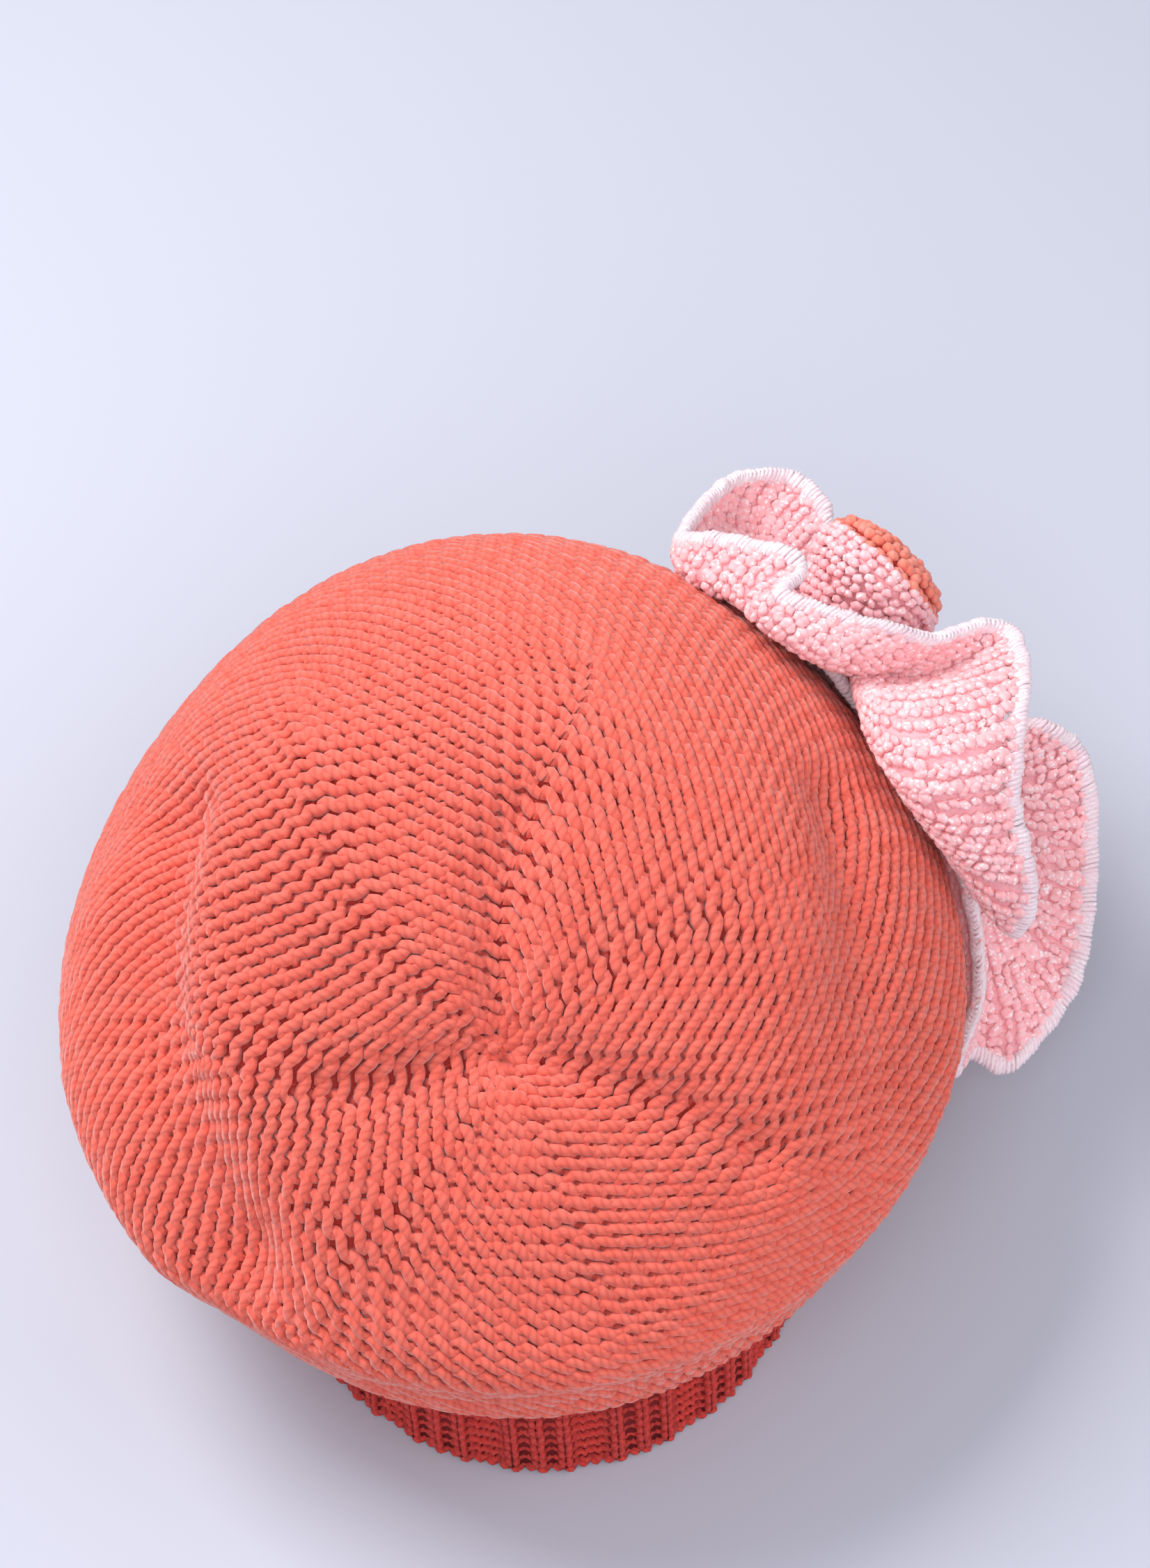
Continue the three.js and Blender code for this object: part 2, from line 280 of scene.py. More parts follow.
class Grower:
    """A Geometry Nodes tree with named inputs, and the code that runs it on a mesh."""

    def __init__(self, name: str) -> None:
        """Makes an empty tree with its geometry input and output.

        Args:
            name: Name of the tree.
        """
        self.tree = bpy.data.node_groups.new(name, "GeometryNodeTree")
        self.graph = Graph(self.tree)
        self._identifiers: dict[str, str] = {}
        self.tree.interface.new_socket("Geometry", in_out="INPUT", socket_type="NodeSocketGeometry")
        self.tree.interface.new_socket("Geometry", in_out="OUTPUT", socket_type="NodeSocketGeometry")
        self._entry = self.tree.nodes.new("NodeGroupInput")

    @property
    def geometry(self) -> Wire:
        """The mesh that comes in."""
        return Wire(self.graph, self._entry.outputs[0])

    def number(self, name: str, socket_type: str = "NodeSocketFloat") -> Wire:
        """Adds a named input.

        Args:
            name: Name of the input.
            socket_type: Type of its socket.

        Returns:
            The input as a wire.
        """
        made = self.tree.interface.new_socket(name, in_out="INPUT", socket_type=socket_type)
        self._identifiers[name] = made.identifier
        found = [one for one in self._entry.outputs if one.identifier == made.identifier]
        return Wire(self.graph, found[0])

    def attribute(self, name: str, data_type: str = "FLOAT") -> Wire:
        """Reads a named attribute of the geometry."""
        settings = {"data_type": data_type}
        return self.graph.wire("GeometryNodeInputNamedAttribute", "Attribute", settings, {"Name": name})

    def leave(self, geometry: Wire, material: Wire) -> None:
        """Ends the tree in smooth shading, Realize Instances and Set Material.

        Args:
            geometry: What the tree has made.
            material: Its material.
        """
        smooth = self.graph.wire("GeometryNodeSetShadeSmooth", "Geometry", sockets={"Geometry": geometry})
        real = self.graph.wire("GeometryNodeRealizeInstances", "Geometry", sockets={"Geometry": smooth})
        dressed = self.graph.wire(
            "GeometryNodeSetMaterial", "Geometry", sockets={"Geometry": real, "Material": material}
        )
        self.graph.node("NodeGroupOutput", sockets={"Geometry": dressed})

    def grow(self, seed_mesh: bpy.types.Mesh, name: str, inputs: Mapping[str, object]) -> bpy.types.Object:
        """Runs the tree on a mesh and keeps the result as a plain mesh object.

        Args:
            seed_mesh: Mesh that the tree reads.
            name: Name of the new piece.
            inputs: Values of the tree's named inputs.

        Returns:
            The new piece.
        """
        source = bpy.data.objects.new(name + "_seed", seed_mesh)
        bpy.context.scene.collection.objects.link(source)
        modifier = source.modifiers.new("grow", "NODES")
        modifier.node_group = self.tree
        for key, value in inputs.items():
            modifier[self._identifiers[key]] = value
        bpy.context.view_layer.update()
        evaluated = source.evaluated_get(bpy.context.evaluated_depsgraph_get())
        mesh = bpy.data.meshes.new_from_object(evaluated)
        source.modifiers.remove(modifier)
        bpy.data.objects.remove(source)
        bpy.data.meshes.remove(seed_mesh)
        for attribute in list(mesh.attributes):
            if attribute.name in SEED_ATTRIBUTES:
                mesh.attributes.remove(attribute)
        mesh.name = name
        piece = bpy.data.objects.new(name, mesh)
        bpy.context.scene.collection.objects.link(piece)
        return piece


def store(graph: Graph, geometry: Wire, name: str, value: Wire, data_type: str) -> Wire:
    """Stores a value on the points of a geometry under a name.

    Args:
        graph: Graph of the tree.
        geometry: Geometry that gets the attribute.
        name: Name of the attribute.
        value: Its value.
        data_type: Its type.

    Returns:
        The geometry with the attribute.
    """
    settings = {"data_type": data_type, "domain": "POINT"}
    sockets = {"Geometry": geometry, "Name": name, "Value": value}
    return graph.wire("GeometryNodeStoreNamedAttribute", "Geometry", settings, sockets)


SEED_ATTRIBUTES = ("course", "wale", "outward", "stitch", "side", "thickness", "lie", "facing", "size")


# ---------------------------------------------------------------------------- meshes
def mesh_object(name: str, mesh: bpy.types.Mesh, material: bpy.types.Material) -> bpy.types.Object:
    """Links a smooth-shaded mesh into the scene with its material.

    Args:
        name: Name of the piece.
        mesh: Its mesh.
        material: Its material.

    Returns:
        The new object.
    """
    mesh.materials.append(material)
    mesh.shade_smooth()
    piece = bpy.data.objects.new(name, mesh)
    bpy.context.scene.collection.objects.link(piece)
    return piece


def ring_chain(name: str, rings: Sequence[Array]) -> bpy.types.Mesh:
    """Closed mesh through a chain of rings of points. A ring of one point is a pole.

    Args:
        name: Name of the mesh.
        rings: Points of each ring. A chain that doesn't start at a pole closes on itself.

    Returns:
        The mesh, with its faces outwards.
    """
    starts = np.cumsum([0] + [len(ring) for ring in rings])
    faces: list[tuple[int, ...]] = []
    links = [(k, k + 1) for k in range(len(rings) - 1)]
    if len(rings[0]) > 1:
        links.append((len(rings) - 1, 0))
    for low, high in links:
        count = max(len(rings[low]), len(rings[high]))
        for i in range(count):
            a = starts[low] + i % len(rings[low])
            b = starts[low] + (i + 1) % len(rings[low])
            c = starts[high] + (i + 1) % len(rings[high])
            d = starts[high] + i % len(rings[high])
            faces.append(tuple(dict.fromkeys(int(corner) for corner in (a, b, c, d))))
    mesh = bpy.data.meshes.new(name)
    mesh.from_pydata(np.concatenate(rings).tolist(), [], faces)
    if _volume(mesh) < 0.0:
        mesh.flip_normals()
    return mesh


def _volume(mesh: bpy.types.Mesh) -> float:
    """Measures six times the volume inside a closed mesh.

    Args:
        mesh: The mesh.

    Returns:
        The volume, negative where the faces point inwards.
    """
    total = 0.0
    points = [vertex.co for vertex in mesh.vertices]
    for polygon in mesh.polygons:
        first, *rest = [points[index] for index in polygon.vertices]
        for second, third in zip(rest, rest[1:]):
            total += first.dot(second.cross(third))
    return total


def unit(vectors: Array) -> Array:
    """Returns vectors at length 1."""
    lengths = np.linalg.norm(vectors, axis=-1, keepdims=True)
    return vectors / np.maximum(lengths, 1e-12)


def catmull_rom(values: Array, position: Array, closed: bool) -> Array:
    """Smooth curve through rows of numbers.

    Args:
        values: One row of numbers for each station.
        position: Fractional stations to read.
        closed: True where the last row leads back to the first.

    Returns:
        One row of numbers for each position.
    """
    count = len(values)
    start = np.floor(position).astype(int)
    if not closed:
        start = np.minimum(start, count - 2)
    part = (position - start)[..., None]

    def pick(offset: int) -> Array:
        """Returns the rows at an offset from each start."""
        index = start + offset
        return values[index % count if closed else np.clip(index, 0, count - 1)]

    before, here, there, after = pick(-1), pick(0), pick(1), pick(2)
    bend = 2 * before - 5 * here + 4 * there - after
    twist = 3 * here - before - 3 * there + after
    return 0.5 * (2 * here + (there - before) * part + bend * part**2 + twist * part**3)


def mesh_strip(name: str, rings: Sequence[Array]) -> bpy.types.Mesh:
    """Makes an open strip through closed rings of points.

    Args:
        name: Name of the mesh.
        rings: Rings of points, each as long as the first.

    Returns:
        The mesh.
    """
    count = len(rings[0])
    faces = [
        (low + i, low + count + i, low + count + (i + 1) % count, low + (i + 1) % count)
        for low in range(0, (len(rings) - 1) * count, count)
        for i in range(count)
    ]
    mesh = bpy.data.meshes.new(name)
    mesh.from_pydata(np.concatenate(rings).tolist(), [], faces)
    return mesh


@dataclass
class Strands:
    """Yarn courses with what the stitches need to know at each point of them.

    Attributes:
        points: Places along each course.
        numbers: What each course holds at its points, by name.
    """

    points: list[Array] = field(default_factory=list)
    numbers: dict[str, list[Array]] = field(default_factory=dict)

    def add(self, points: Array, **attributes: Array) -> None:
        """Adds one course.

        Args:
            points: Places along the course.
            **attributes: A number or a vector for each point, by name.
        """
        self.points.append(points)
        for name, values in attributes.items():
            self.numbers.setdefault(name, []).append(values)

    def stitches(self) -> float:
        """Returns the number of stitches in all courses."""
        return float(sum(abs(one[-1] - one[0]) for one in self.numbers["stitch"]))

    def mesh(self, name: str, joined: bool = True) -> bpy.types.Mesh:
        """Returns the courses as a mesh of edges, or of loose points.

        Args:
            name: Name of the mesh.
            joined: False for points with no edges.

        Returns:
            The mesh with its attributes.
        """
        edges: list[tuple[int, int]] = []
        start = 0
        for points in self.points:
            if joined:
                edges.extend((start + i, start + i + 1) for i in range(len(points) - 1))
            start += len(points)
        mesh = bpy.data.meshes.new(name)
        mesh.from_pydata(np.concatenate(self.points).tolist(), edges, [])
        for key, parts in self.numbers.items():
            values = np.concatenate(parts).astype(np.float32)
            is_vector = values.ndim == 2
            layer = mesh.attributes.new(key, "FLOAT_VECTOR" if is_vector else "FLOAT", "POINT")
            layer.data.foreach_set("vector" if is_vector else "value", values.ravel())
        return mesh


# ---------------------------------------------------------------------------- yarn
@dataclass(frozen=True)
class LoopShape:
    """How a yarn winds about its course, as waves of one and two turns a stitch.

    Each wave holds how far the yarn goes along the course as a share of a stitch, up
    the fabric as a share of a row, and out of the fabric in metres.

    Attributes:
        cosine: One turn a stitch, largest at the head of the loop.
        sine: One turn a stitch, largest at its leg.
        double_cosine: Two turns a stitch, largest at head and foot.
        double_sine: Two turns a stitch, largest between them.
        radius: Radius of the yarn, in metres.
        swell: How much fatter the yarn looks at the head of its loop, as a share.
        cuts: Cuts between two points of a course.
        sides: Sides of the yarn.
        wander: How far the yarn strays, in metres.
    """

    cosine: Triple
    sine: Triple = (0.0, 0.0, 0.0)
    double_cosine: Triple = (0.0, 0.0, 0.0)
    double_sine: Triple = (0.0, 0.0, 0.0)
    radius: float = MM
    swell: float = 0.0
    cuts: int = 4
    sides: int = 5
    wander: float = 0.3 * MM


class YarnLooper:
    """Geometry Nodes that turn a course into looped yarn."""

    WANDER_SCALE = 190.0
    SWELL_LAG = 0.5
    WAVES = ("Cosine", "Sine", "Double Cosine", "Double Sine")

    def __init__(self) -> None:
        """Builds the tree."""
        self.grower = Grower("looped_yarn")
        graph = self.grower.graph
        waves = [self.grower.number(name, "NodeSocketVector") for name in self.WAVES]
        radius = self.grower.number("Yarn Radius")
        swell = self.grower.number("Swell")
        wander = self.grower.number("Wander")
        cuts = self.grower.number("Cuts", "NodeSocketInt")
        sides = self.grower.number("Sides", "NodeSocketInt")
        material = self.grower.number("Material", "NodeSocketMaterial")

        place = graph.wire("GeometryNodeInputPosition", "Position")
        turn = self.grower.attribute("stitch") * math.tau
        offset = self._offset(waves, turn, place, wander)
        curve = graph.wire("GeometryNodeMeshToCurve", "Curve", sockets={"Mesh": self.grower.geometry})
        fine = graph.wire("GeometryNodeSubdivideCurve", "Curve", sockets={"Curve": curve, "Cuts": cuts})
        looped = graph.wire(
            "GeometryNodeSetPosition", "Geometry", sockets={"Geometry": fine, "Offset": offset}
        )
        footed = store(graph, looped, "foot", place - offset, "FLOAT_VECTOR")
        thickness = self.grower.attribute("thickness") * (1.0 + swell * (turn + self.SWELL_LAG).cosine())
        tube = self._tube(footed, place, sides, radius * thickness)
        self.grower.leave(self._with_lift(tube, place), material)

    def _offset(self, waves: Sequence[Wire], turn: Wire, place: Wire, wander: Wire) -> Wire:
        """Works out how far the yarn goes from its course.

        Args:
            waves: The four waves, in the order of WAVES.
            turn: Angle along the course, a full turn for each stitch.
            place: Place of each point.
            wander: How far the yarn strays.

        Returns:
            The way from the course to the yarn.
        """
        graph = self.grower.graph
        double = turn * 2.0
        swings = (turn.cosine(), turn.sine(), double.cosine(), double.sine())
        swung = sum((wave * swing for wave, swing in zip(waves[1:], swings[1:])), waves[0] * swings[0])
        sockets = {"Vector": place, "Scale": self.WANDER_SCALE, "Detail": 1.0}
        noise = graph.wire("ShaderNodeTexNoise", "Color", sockets=sockets)
        stray = graph.wire(
            "ShaderNodeVectorMath",
            "Vector",
            {"operation": "SUBTRACT"},
            {"Vector": noise, "Vector_001": (0.5, 0.5, 0.5)},
        )
        course, wale, outward = (
            self.grower.attribute(name, "FLOAT_VECTOR") for name in ("course", "wale", "outward")
        )
        return (
            course * swung.part(0)
            + wale * swung.part(1)
            + outward * (swung.part(2) * self.grower.attribute("side"))
            + stray * (wander * 2.0)
        )

    def _tube(self, curve: Wire, place: Wire, sides: Wire, radius: Wire) -> Wire:
        """Gives the yarn its round section.

        Args:
            curve: Middle line of the yarn.
            place: Place of each point.
            sides: Sides of the section.
            radius: Radius along the curve.

        Returns:
            The yarn's surface, which knows how far along and where round each point is.
        """
        graph = self.grower.graph
        length = graph.wire("GeometryNodeSplineParameter", "Length")
        marked = store(graph, curve, "along", length, "FLOAT")
        circle = graph.wire(
            "GeometryNodeCurvePrimitiveCircle", "Curve", sockets={"Resolution": sides, "Radius": 1.0}
        )
        profile = store(graph, circle, "ply", place, "FLOAT_VECTOR")
        sockets = {"Curve": marked, "Profile Curve": profile, "Scale": radius, "Fill Caps": True}
        return graph.wire("GeometryNodeCurveToMesh", "Mesh", sockets=sockets)

    def _with_lift(self, tube: Wire, place: Wire) -> Wire:
        """Stores how far each point is from the fabric's middle, which the material turns into painted shade
        down between the stitches.

        Args:
            tube: Surface of the yarn.
            place: Place of each point.

        Returns:
            The surface with the distance in millimetres.
        """
        graph = self.grower.graph
        way = place - self.grower.attribute("foot", "FLOAT_VECTOR")
        above = graph.wire(
            "ShaderNodeVectorMath",
            "Value",
            {"operation": "DOT_PRODUCT"},
            {"Vector": way, "Vector_001": self.grower.attribute("outward", "FLOAT_VECTOR")},
        )
        return store(graph, tube, "lift", (above * above).power(0.5) * (1.0 / MM), "FLOAT")

    def make(
        self, strands: Strands, name: str, shape: LoopShape, material: bpy.types.Material
    ) -> bpy.types.Object:
        """Loops yarn along courses.

        Args:
            strands: The courses.
            name: Name of the piece.
            shape: How the yarn loops.
            material: The yarn's material.

        Returns:
            The yarn as one mesh object.
        """
        waves = (shape.cosine, shape.sine, shape.double_cosine, shape.double_sine)
        inputs: dict[str, object] = dict(zip(self.WAVES, waves))
        inputs.update({
            "Yarn Radius": shape.radius,
            "Swell": shape.swell,
            "Wander": shape.wander,
            "Cuts": shape.cuts,
            "Sides": shape.sides,
            "Material": material,
        })
        return self.grower.grow(strands.mesh(name + "_courses"), name, inputs)


class StitchPlacer:
    """Geometry Nodes that set a small crochet stitch on each point."""

    HALF_LENGTH = 1.8 * MM
    LOWEST_LIFT = 0.9
    SIDES = 5
    RINGS = 4
    UNEVENNESS = 0.14

    def __init__(self) -> None:
        """Builds the tree."""
        grower = Grower("crochet_stitches")
        graph = grower.graph
        sides = grower.number("Sides", "NodeSocketInt")
        rings = grower.number("Rings", "NodeSocketInt")
        seed = grower.number("Seed", "NodeSocketInt")
        unevenness = grower.number("Unevenness")
        material = grower.number("Material", "NodeSocketMaterial")
        ball = graph.wire(
            "GeometryNodeMeshUVSphere", "Mesh", sockets={"Segments": sides, "Rings": rings, "Radius": 1.0}
        )
        spot = graph.wire("GeometryNodeInputPosition", "Position")
        flat = graph.wire("ShaderNodeCombineXYZ", "Vector", sockets={"X": spot.part(1), "Y": spot.part(2)})
        section = graph.wire("ShaderNodeVectorMath", "Vector", {"operation": "NORMALIZE"}, {"Vector": flat})
        measured = store(graph, ball, "along", spot.part(0) * self.HALF_LENGTH, "FLOAT")
        plied = store(graph, measured, "ply", section, "FLOAT_VECTOR")
        # The lift sets the painted shade: the stitch's lower half is darkened.
        bean = store(graph, plied, "lift", spot.part(2) + self.LOWEST_LIFT, "FLOAT")
        rotation = graph.wire(
            "FunctionNodeAxesToRotation",
            "Rotation",
            {"primary_axis": "Z", "secondary_axis": "X"},
            {
                "Primary Axis": grower.attribute("facing", "FLOAT_VECTOR"),
                "Secondary Axis": grower.attribute("lie", "FLOAT_VECTOR"),
            },
        )
        chance = graph.wire(
            "FunctionNodeRandomValue",
            "Value_001",
            {"data_type": "FLOAT"},
            {"Min_001": -1.0, "Max_001": 1.0, "Seed": seed},
        )
        size = grower.attribute("size", "FLOAT_VECTOR") * (1.0 + chance * unevenness)
        set_out = graph.wire(
            "GeometryNodeInstanceOnPoints",
            "Instances",
            sockets={"Points": grower.geometry, "Instance": bean, "Rotation": rotation, "Scale": size},
        )
        grower.leave(set_out, material)
        self.grower = grower

    def make(
        self, stitches: Strands, name: str, material: bpy.types.Material, seed: int
    ) -> bpy.types.Object:
        """Sets a stitch on each point.

        Args:
            stitches: Points with facing, lie and size.
            name: Name of the piece.
            material: The yarn's material.
            seed: Seed of the stitches' small differences in size.

        Returns:
            The stitches as one mesh object.
        """
        inputs = {
            "Sides": self.SIDES,
            "Rings": self.RINGS,
            "Seed": seed,
            "Unevenness": self.UNEVENNESS,
            "Material": material,
        }
        return self.grower.grow(stitches.mesh(name + "_points", joined=False), name, inputs)


@dataclass(frozen=True)
class Nap:
    """Loose fibres of one surface.

    Attributes:
        per_square_cm: Fibres on each square centimetre.
        half_length: Half the length of a fibre.
        half_width: Half the width of a fibre.
    """

    per_square_cm: float
    half_length: float = 1.6 * MM
    half_width: float = 0.055 * MM


class NapMaker:
    """Geometry Nodes that scatter short loose fibres over a surface."""

    SHORTEST = 0.5
    LONGEST = 1.3
    UPRIGHT = 0.45
    # Lift stored on the fibres, high enough that they get no painted shade.
    LIFT = 1.6
    SEED = 11

    def __init__(self) -> None:
        """Builds the tree."""
        grower = Grower("loose_fibres")
        graph = grower.graph
        density = grower.number("Density")
        seed = grower.number("Seed", "NodeSocketInt")
        length = grower.number("Length")
        width = grower.number("Width")
        material = grower.number("Material", "NodeSocketMaterial")
        scatter = graph.node(
            "GeometryNodeDistributePointsOnFaces",
            {"distribute_method": "RANDOM"},
            {"Mesh": grower.geometry, "Density": density, "Seed": seed},
        )
        normal = Wire(graph, scatter.outputs["Normal"])
        stray = self._random(graph, "FLOAT_VECTOR", "", (-1.0, -1.0, -1.0), (1.0, 1.0, 1.0), seed)
        reach = self._random(graph, "FLOAT", "_001", self.SHORTEST, self.LONGEST, seed)
        rotation = graph.wire(
            "FunctionNodeAxesToRotation",
            "Rotation",
            {"primary_axis": "X", "secondary_axis": "Z"},
            {"Primary Axis": normal * self.UPRIGHT + stray, "Secondary Axis": normal},
        )
        blade = graph.wire(
            "GeometryNodeMeshCircle", "Mesh", {"fill_type": "NGON"}, {"Vertices": 3, "Radius": 1.0}
        )
        sockets = {"X": length * reach, "Y": width, "Z": 1.0}
        size = graph.wire("ShaderNodeCombineXYZ", "Vector", sockets=sockets)
        set_out = graph.wire(
            "GeometryNodeInstanceOnPoints",
            "Instances",
            sockets={
                "Points": Wire(graph, scatter.outputs["Points"]),
                "Instance": store(graph, blade, "lift", self.LIFT, "FLOAT"),
                "Rotation": rotation,
                "Scale": size,
            },
        )
        grower.leave(set_out, material)
        self.grower = grower

    @staticmethod
    def _random(graph: Graph, data_type: str, suffix: str, low: object, high: object, seed: Wire) -> Wire:
        """Adds a random value for each point.

        Args:
            graph: Graph of the tree.
            data_type: Type of the value.
            suffix: What the identifiers of that type's sockets end in.
            low: Lowest value.
            high: Highest value.
            seed: Seed of the values.

        Returns:
            The random value.
        """
        sockets = {"Min" + suffix: low, "Max" + suffix: high, "Seed": seed}
        settings = {"data_type": data_type}
        return graph.wire("FunctionNodeRandomValue", "Value" + suffix, settings, sockets)

    def make(
        self, ground: bpy.types.Mesh, name: str, nap: Nap, material: bpy.types.Material
    ) -> bpy.types.Object:
        """Scatters fibres over a surface, which is used up.

        Args:
            ground: Mesh that the fibres stand on.
            name: Name of the piece.
            nap: How many fibres there are, and their size.
            material: The yarn's material.

        Returns:
            The fibres as one mesh object.
        """
        inputs = {
            "Density": nap.per_square_cm * 1.0e4,
            "Seed": self.SEED,
            "Length": nap.half_length,
            "Width": nap.half_width,
            "Material": material,
        }
        return self.grower.grow(ground, name, inputs)


# ---------------------------------------------------------------------------- finishes
def new_material(name: str) -> bpy.types.Material:
    """Makes a material with an empty node tree.

    Args:
        name: Name of the material.

    Returns:
        The material.
    """
    material = bpy.data.materials.new(name)
    material.use_nodes = True
    material.node_tree.nodes.clear()
    return material


def finish(graph: Graph, sockets: Mapping[str, object]) -> None:
    """Ends a material's graph in its shader and its output.

    Args:
        graph: Graph of the material.
        sockets: Values or wires of the shader's sockets.
    """
    shader = graph.wire("ShaderNodeBsdfPrincipled", "BSDF", sockets=sockets)
    graph.node("ShaderNodeOutputMaterial", sockets={"Surface": shader})


@dataclass(frozen=True)
class YarnFinish:
    """Colour and surface of one yarn.

    Attributes:
        name: Name of the material.
        base: Main colour, linear.
        deep: Colour of the painted shade in the grooves between plies and down between the stitches.
        tint: Second tone that drifts through the yarn.
        halo: Colour of the fibres that stand off it.
        twist: Turns of the plies for each metre.
        roughness: Roughness of the fibres.
        sheen: Weight of the soft sheen.
        sparkle: Share of the surface that glints.
        shade: Weight of the painted shade that darkens the yarn down between the stitches.
    """

    name: str
    base: Colour
    deep: Colour
    tint: Colour
    halo: Colour = (1.0, 0.62, 0.58)
    twist: float = 210.0
    roughness: float = 0.9
    sheen: float = 0.6
    sparkle: float = 0.0
    shade: float = 0.8

    FIBRE_SCALE = 2600.0
    DRIFT_SCALE = 170.0
    CLOUD_SCALE = 22.0
    SPARK_SCALE = 1500.0
    DRIFT_RANGE = (0.38, 0.64)
    CREVICE_SHADE_RANGE = (0.05, 0.55)
    CREVICE_SHADE_SCALE = 0.5
    DEEP_SHARE = 0.3
    DARKEST = 0.86
    CLOUD_SHARE = 0.2
    FIBRE_SHARE = 0.12
    GLINT = (1.0, 0.98, 0.99)
    GLINT_SHARE = 0.75
    GLINT_GLOSS = 0.7
    RELIEF = 0.25 * MM
    RELIEF_STRENGTH = 0.55
    FIBRE_RELIEF = 0.8
    GROOVE_RELIEF = 0.5

    def material(self) -> bpy.types.Material:
        """Makes the yarn's material, with plies, fibres, a drift of colour, painted shade in the ply grooves
        and between the stitches, and painted glints where it sparkles.

        Returns:
            The material.
        """
        material = new_material(self.name)
        graph = Graph(material.node_tree)
        place = graph.wire("ShaderNodeTexCoord", "Object")
        fibres = self._noise(graph, place, self.FIBRE_SCALE, 2.0)
        drift = self._noise(graph, place, self.DRIFT_SCALE, 2.0)
        clouds = self._noise(graph, place, self.CLOUD_SCALE, 1.0)
        groove = self._plies(graph)
        tone = graph.blend(self._ramp(graph, drift, *self.DRIFT_RANGE), self.base, self.tint)
        # Painted shade in the grooves between plies, with a random darkening from the fibre noise.
        tone = graph.blend(groove * self.DEEP_SHARE + fibres * self.DEEP_SHARE, tone, self.deep)
        # Painted shade: yarn near the fabric's middle, down between the stitches, is darkened towards the
        # deep colour.
        lift = graph.wire("ShaderNodeAttribute", "Fac", {"attribute_name": "lift"})
        painted_crevice_shade = 1.0 - self._ramp(graph, lift * self.CREVICE_SHADE_SCALE, *self.CREVICE_SHADE_RANGE)
        tone = graph.blend(painted_crevice_shade * self.shade, tone, self.deep)
        colour = tone * (self.DARKEST + clouds * self.CLOUD_SHARE + fibres * self.FIBRE_SHARE)
        roughness: Value = self.roughness
        if self.sparkle > 0.0:
            # Painted glints: small spots turn near white and glossier.
            glint = self._glints(graph, place)
            colour = graph.blend(glint * self.GLINT_SHARE, colour, self.GLINT)
            roughness = self.roughness - glint * self.GLINT_GLOSS
        height = fibres * self.FIBRE_RELIEF - groove * self.GROOVE_RELIEF
        relief = {"Strength": self.RELIEF_STRENGTH, "Distance": self.RELIEF, "Height": height}
        finish(graph, {
            "Base Color": colour,
            "Roughness": roughness,
            "Normal": graph.wire("ShaderNodeBump", "Normal", sockets=relief),
            "Sheen Weight": self.sheen,
            "Sheen Roughness": 0.55,
            "Sheen Tint": _rgba(self.halo),
            "Specular IOR Level": 0.25,
        })
        return material

    @staticmethod
    def _noise(graph: Graph, place: Wire, scale: float, detail: float) -> Wire:
        """Returns a noise between 0 and 1 at a scale."""
        sockets = {"Vector": place, "Scale": scale, "Detail": detail}
        return graph.wire("ShaderNodeTexNoise", "Fac", sockets=sockets)

    @staticmethod
    def _ramp(graph: Graph, value: Wire, low: float, high: float) -> Wire:
        """Returns a value stretched so that low is 0 and high is 1."""
        settings = {"stops": ((low, 0.0), (high, 1.0))}
        return graph.wire("ShaderNodeValToRGB", "Color", settings, {"Fac": value}).part(0)

    def _plies(self, graph: Graph) -> Wire:
        """Winds the plies round the yarn.

        Args:
            graph: Graph of the material.

        Returns:
            1 in the groove between two plies and 0 on their backs.
        """
        along = graph.wire("ShaderNodeAttribute", "Fac", {"attribute_name": "along"})
        ring = graph.wire("ShaderNodeAttribute", "Vector", {"attribute_name": "ply"})
        turn = along * (self.twist * math.tau)
        across = ring.part(0) * turn.cosine() + ring.part(1) * turn.sine()
        return (1.0 - across * across).power(3.0)

    def _glints(self, graph: Graph, place: Wire) -> Wire:
        """Scatters small painted glints: spots painted near white and made glossier.

        Args:
            graph: Graph of the material.
            place: Place of each point.

        Returns:
            1 on a glint and 0 elsewhere.
        """
        sockets = {"Vector": place, "Scale": self.SPARK_SCALE}
        cells = graph.wire("ShaderNodeTexVoronoi", "Color", sockets=sockets).part(0)
        return self._ramp(graph, cells, 1.0 - self.sparkle, 1.0 - self.sparkle * 0.8)


@dataclass(frozen=True)
class GroundFinish:
    """Painted shade: the darker sheet inside a fabric, between its loops.

    Attributes:
        name: Name of the material.
        colour: Its darker tone, painted shade, linear.
    """

    name: str
    colour: Colour

    FIBRE_SCALE = 1400.0
    LIGHTER = 1.7

    def material(self) -> bpy.types.Material:
        """Makes a rough, fibrous material.

        Returns:
            The material.
        """
        material = new_material(self.name)
        graph = Graph(material.node_tree)
        place = graph.wire("ShaderNodeTexCoord", "Object")
        sockets = {"Vector": place, "Scale": self.FIBRE_SCALE, "Detail": 3.0}
        fibres = graph.wire("ShaderNodeTexNoise", "Fac", sockets=sockets)
        lighter = tuple(min(1.0, channel * self.LIGHTER) for channel in self.colour)
        relief = {"Strength": 0.8, "Distance": 0.4 * MM, "Height": fibres}
        finish(graph, {
            "Base Color": graph.blend(fibres, self.colour, lighter),
            "Roughness": 1.0,
            "Normal": graph.wire("ShaderNodeBump", "Normal", sockets=relief),
            "Specular IOR Level": 0.1,
        })
        return material


BAG_YARN = YarnFinish("coral_yarn", (0.86, 0.145, 0.098), (0.36, 0.026, 0.020), (0.85, 0.175, 0.125))
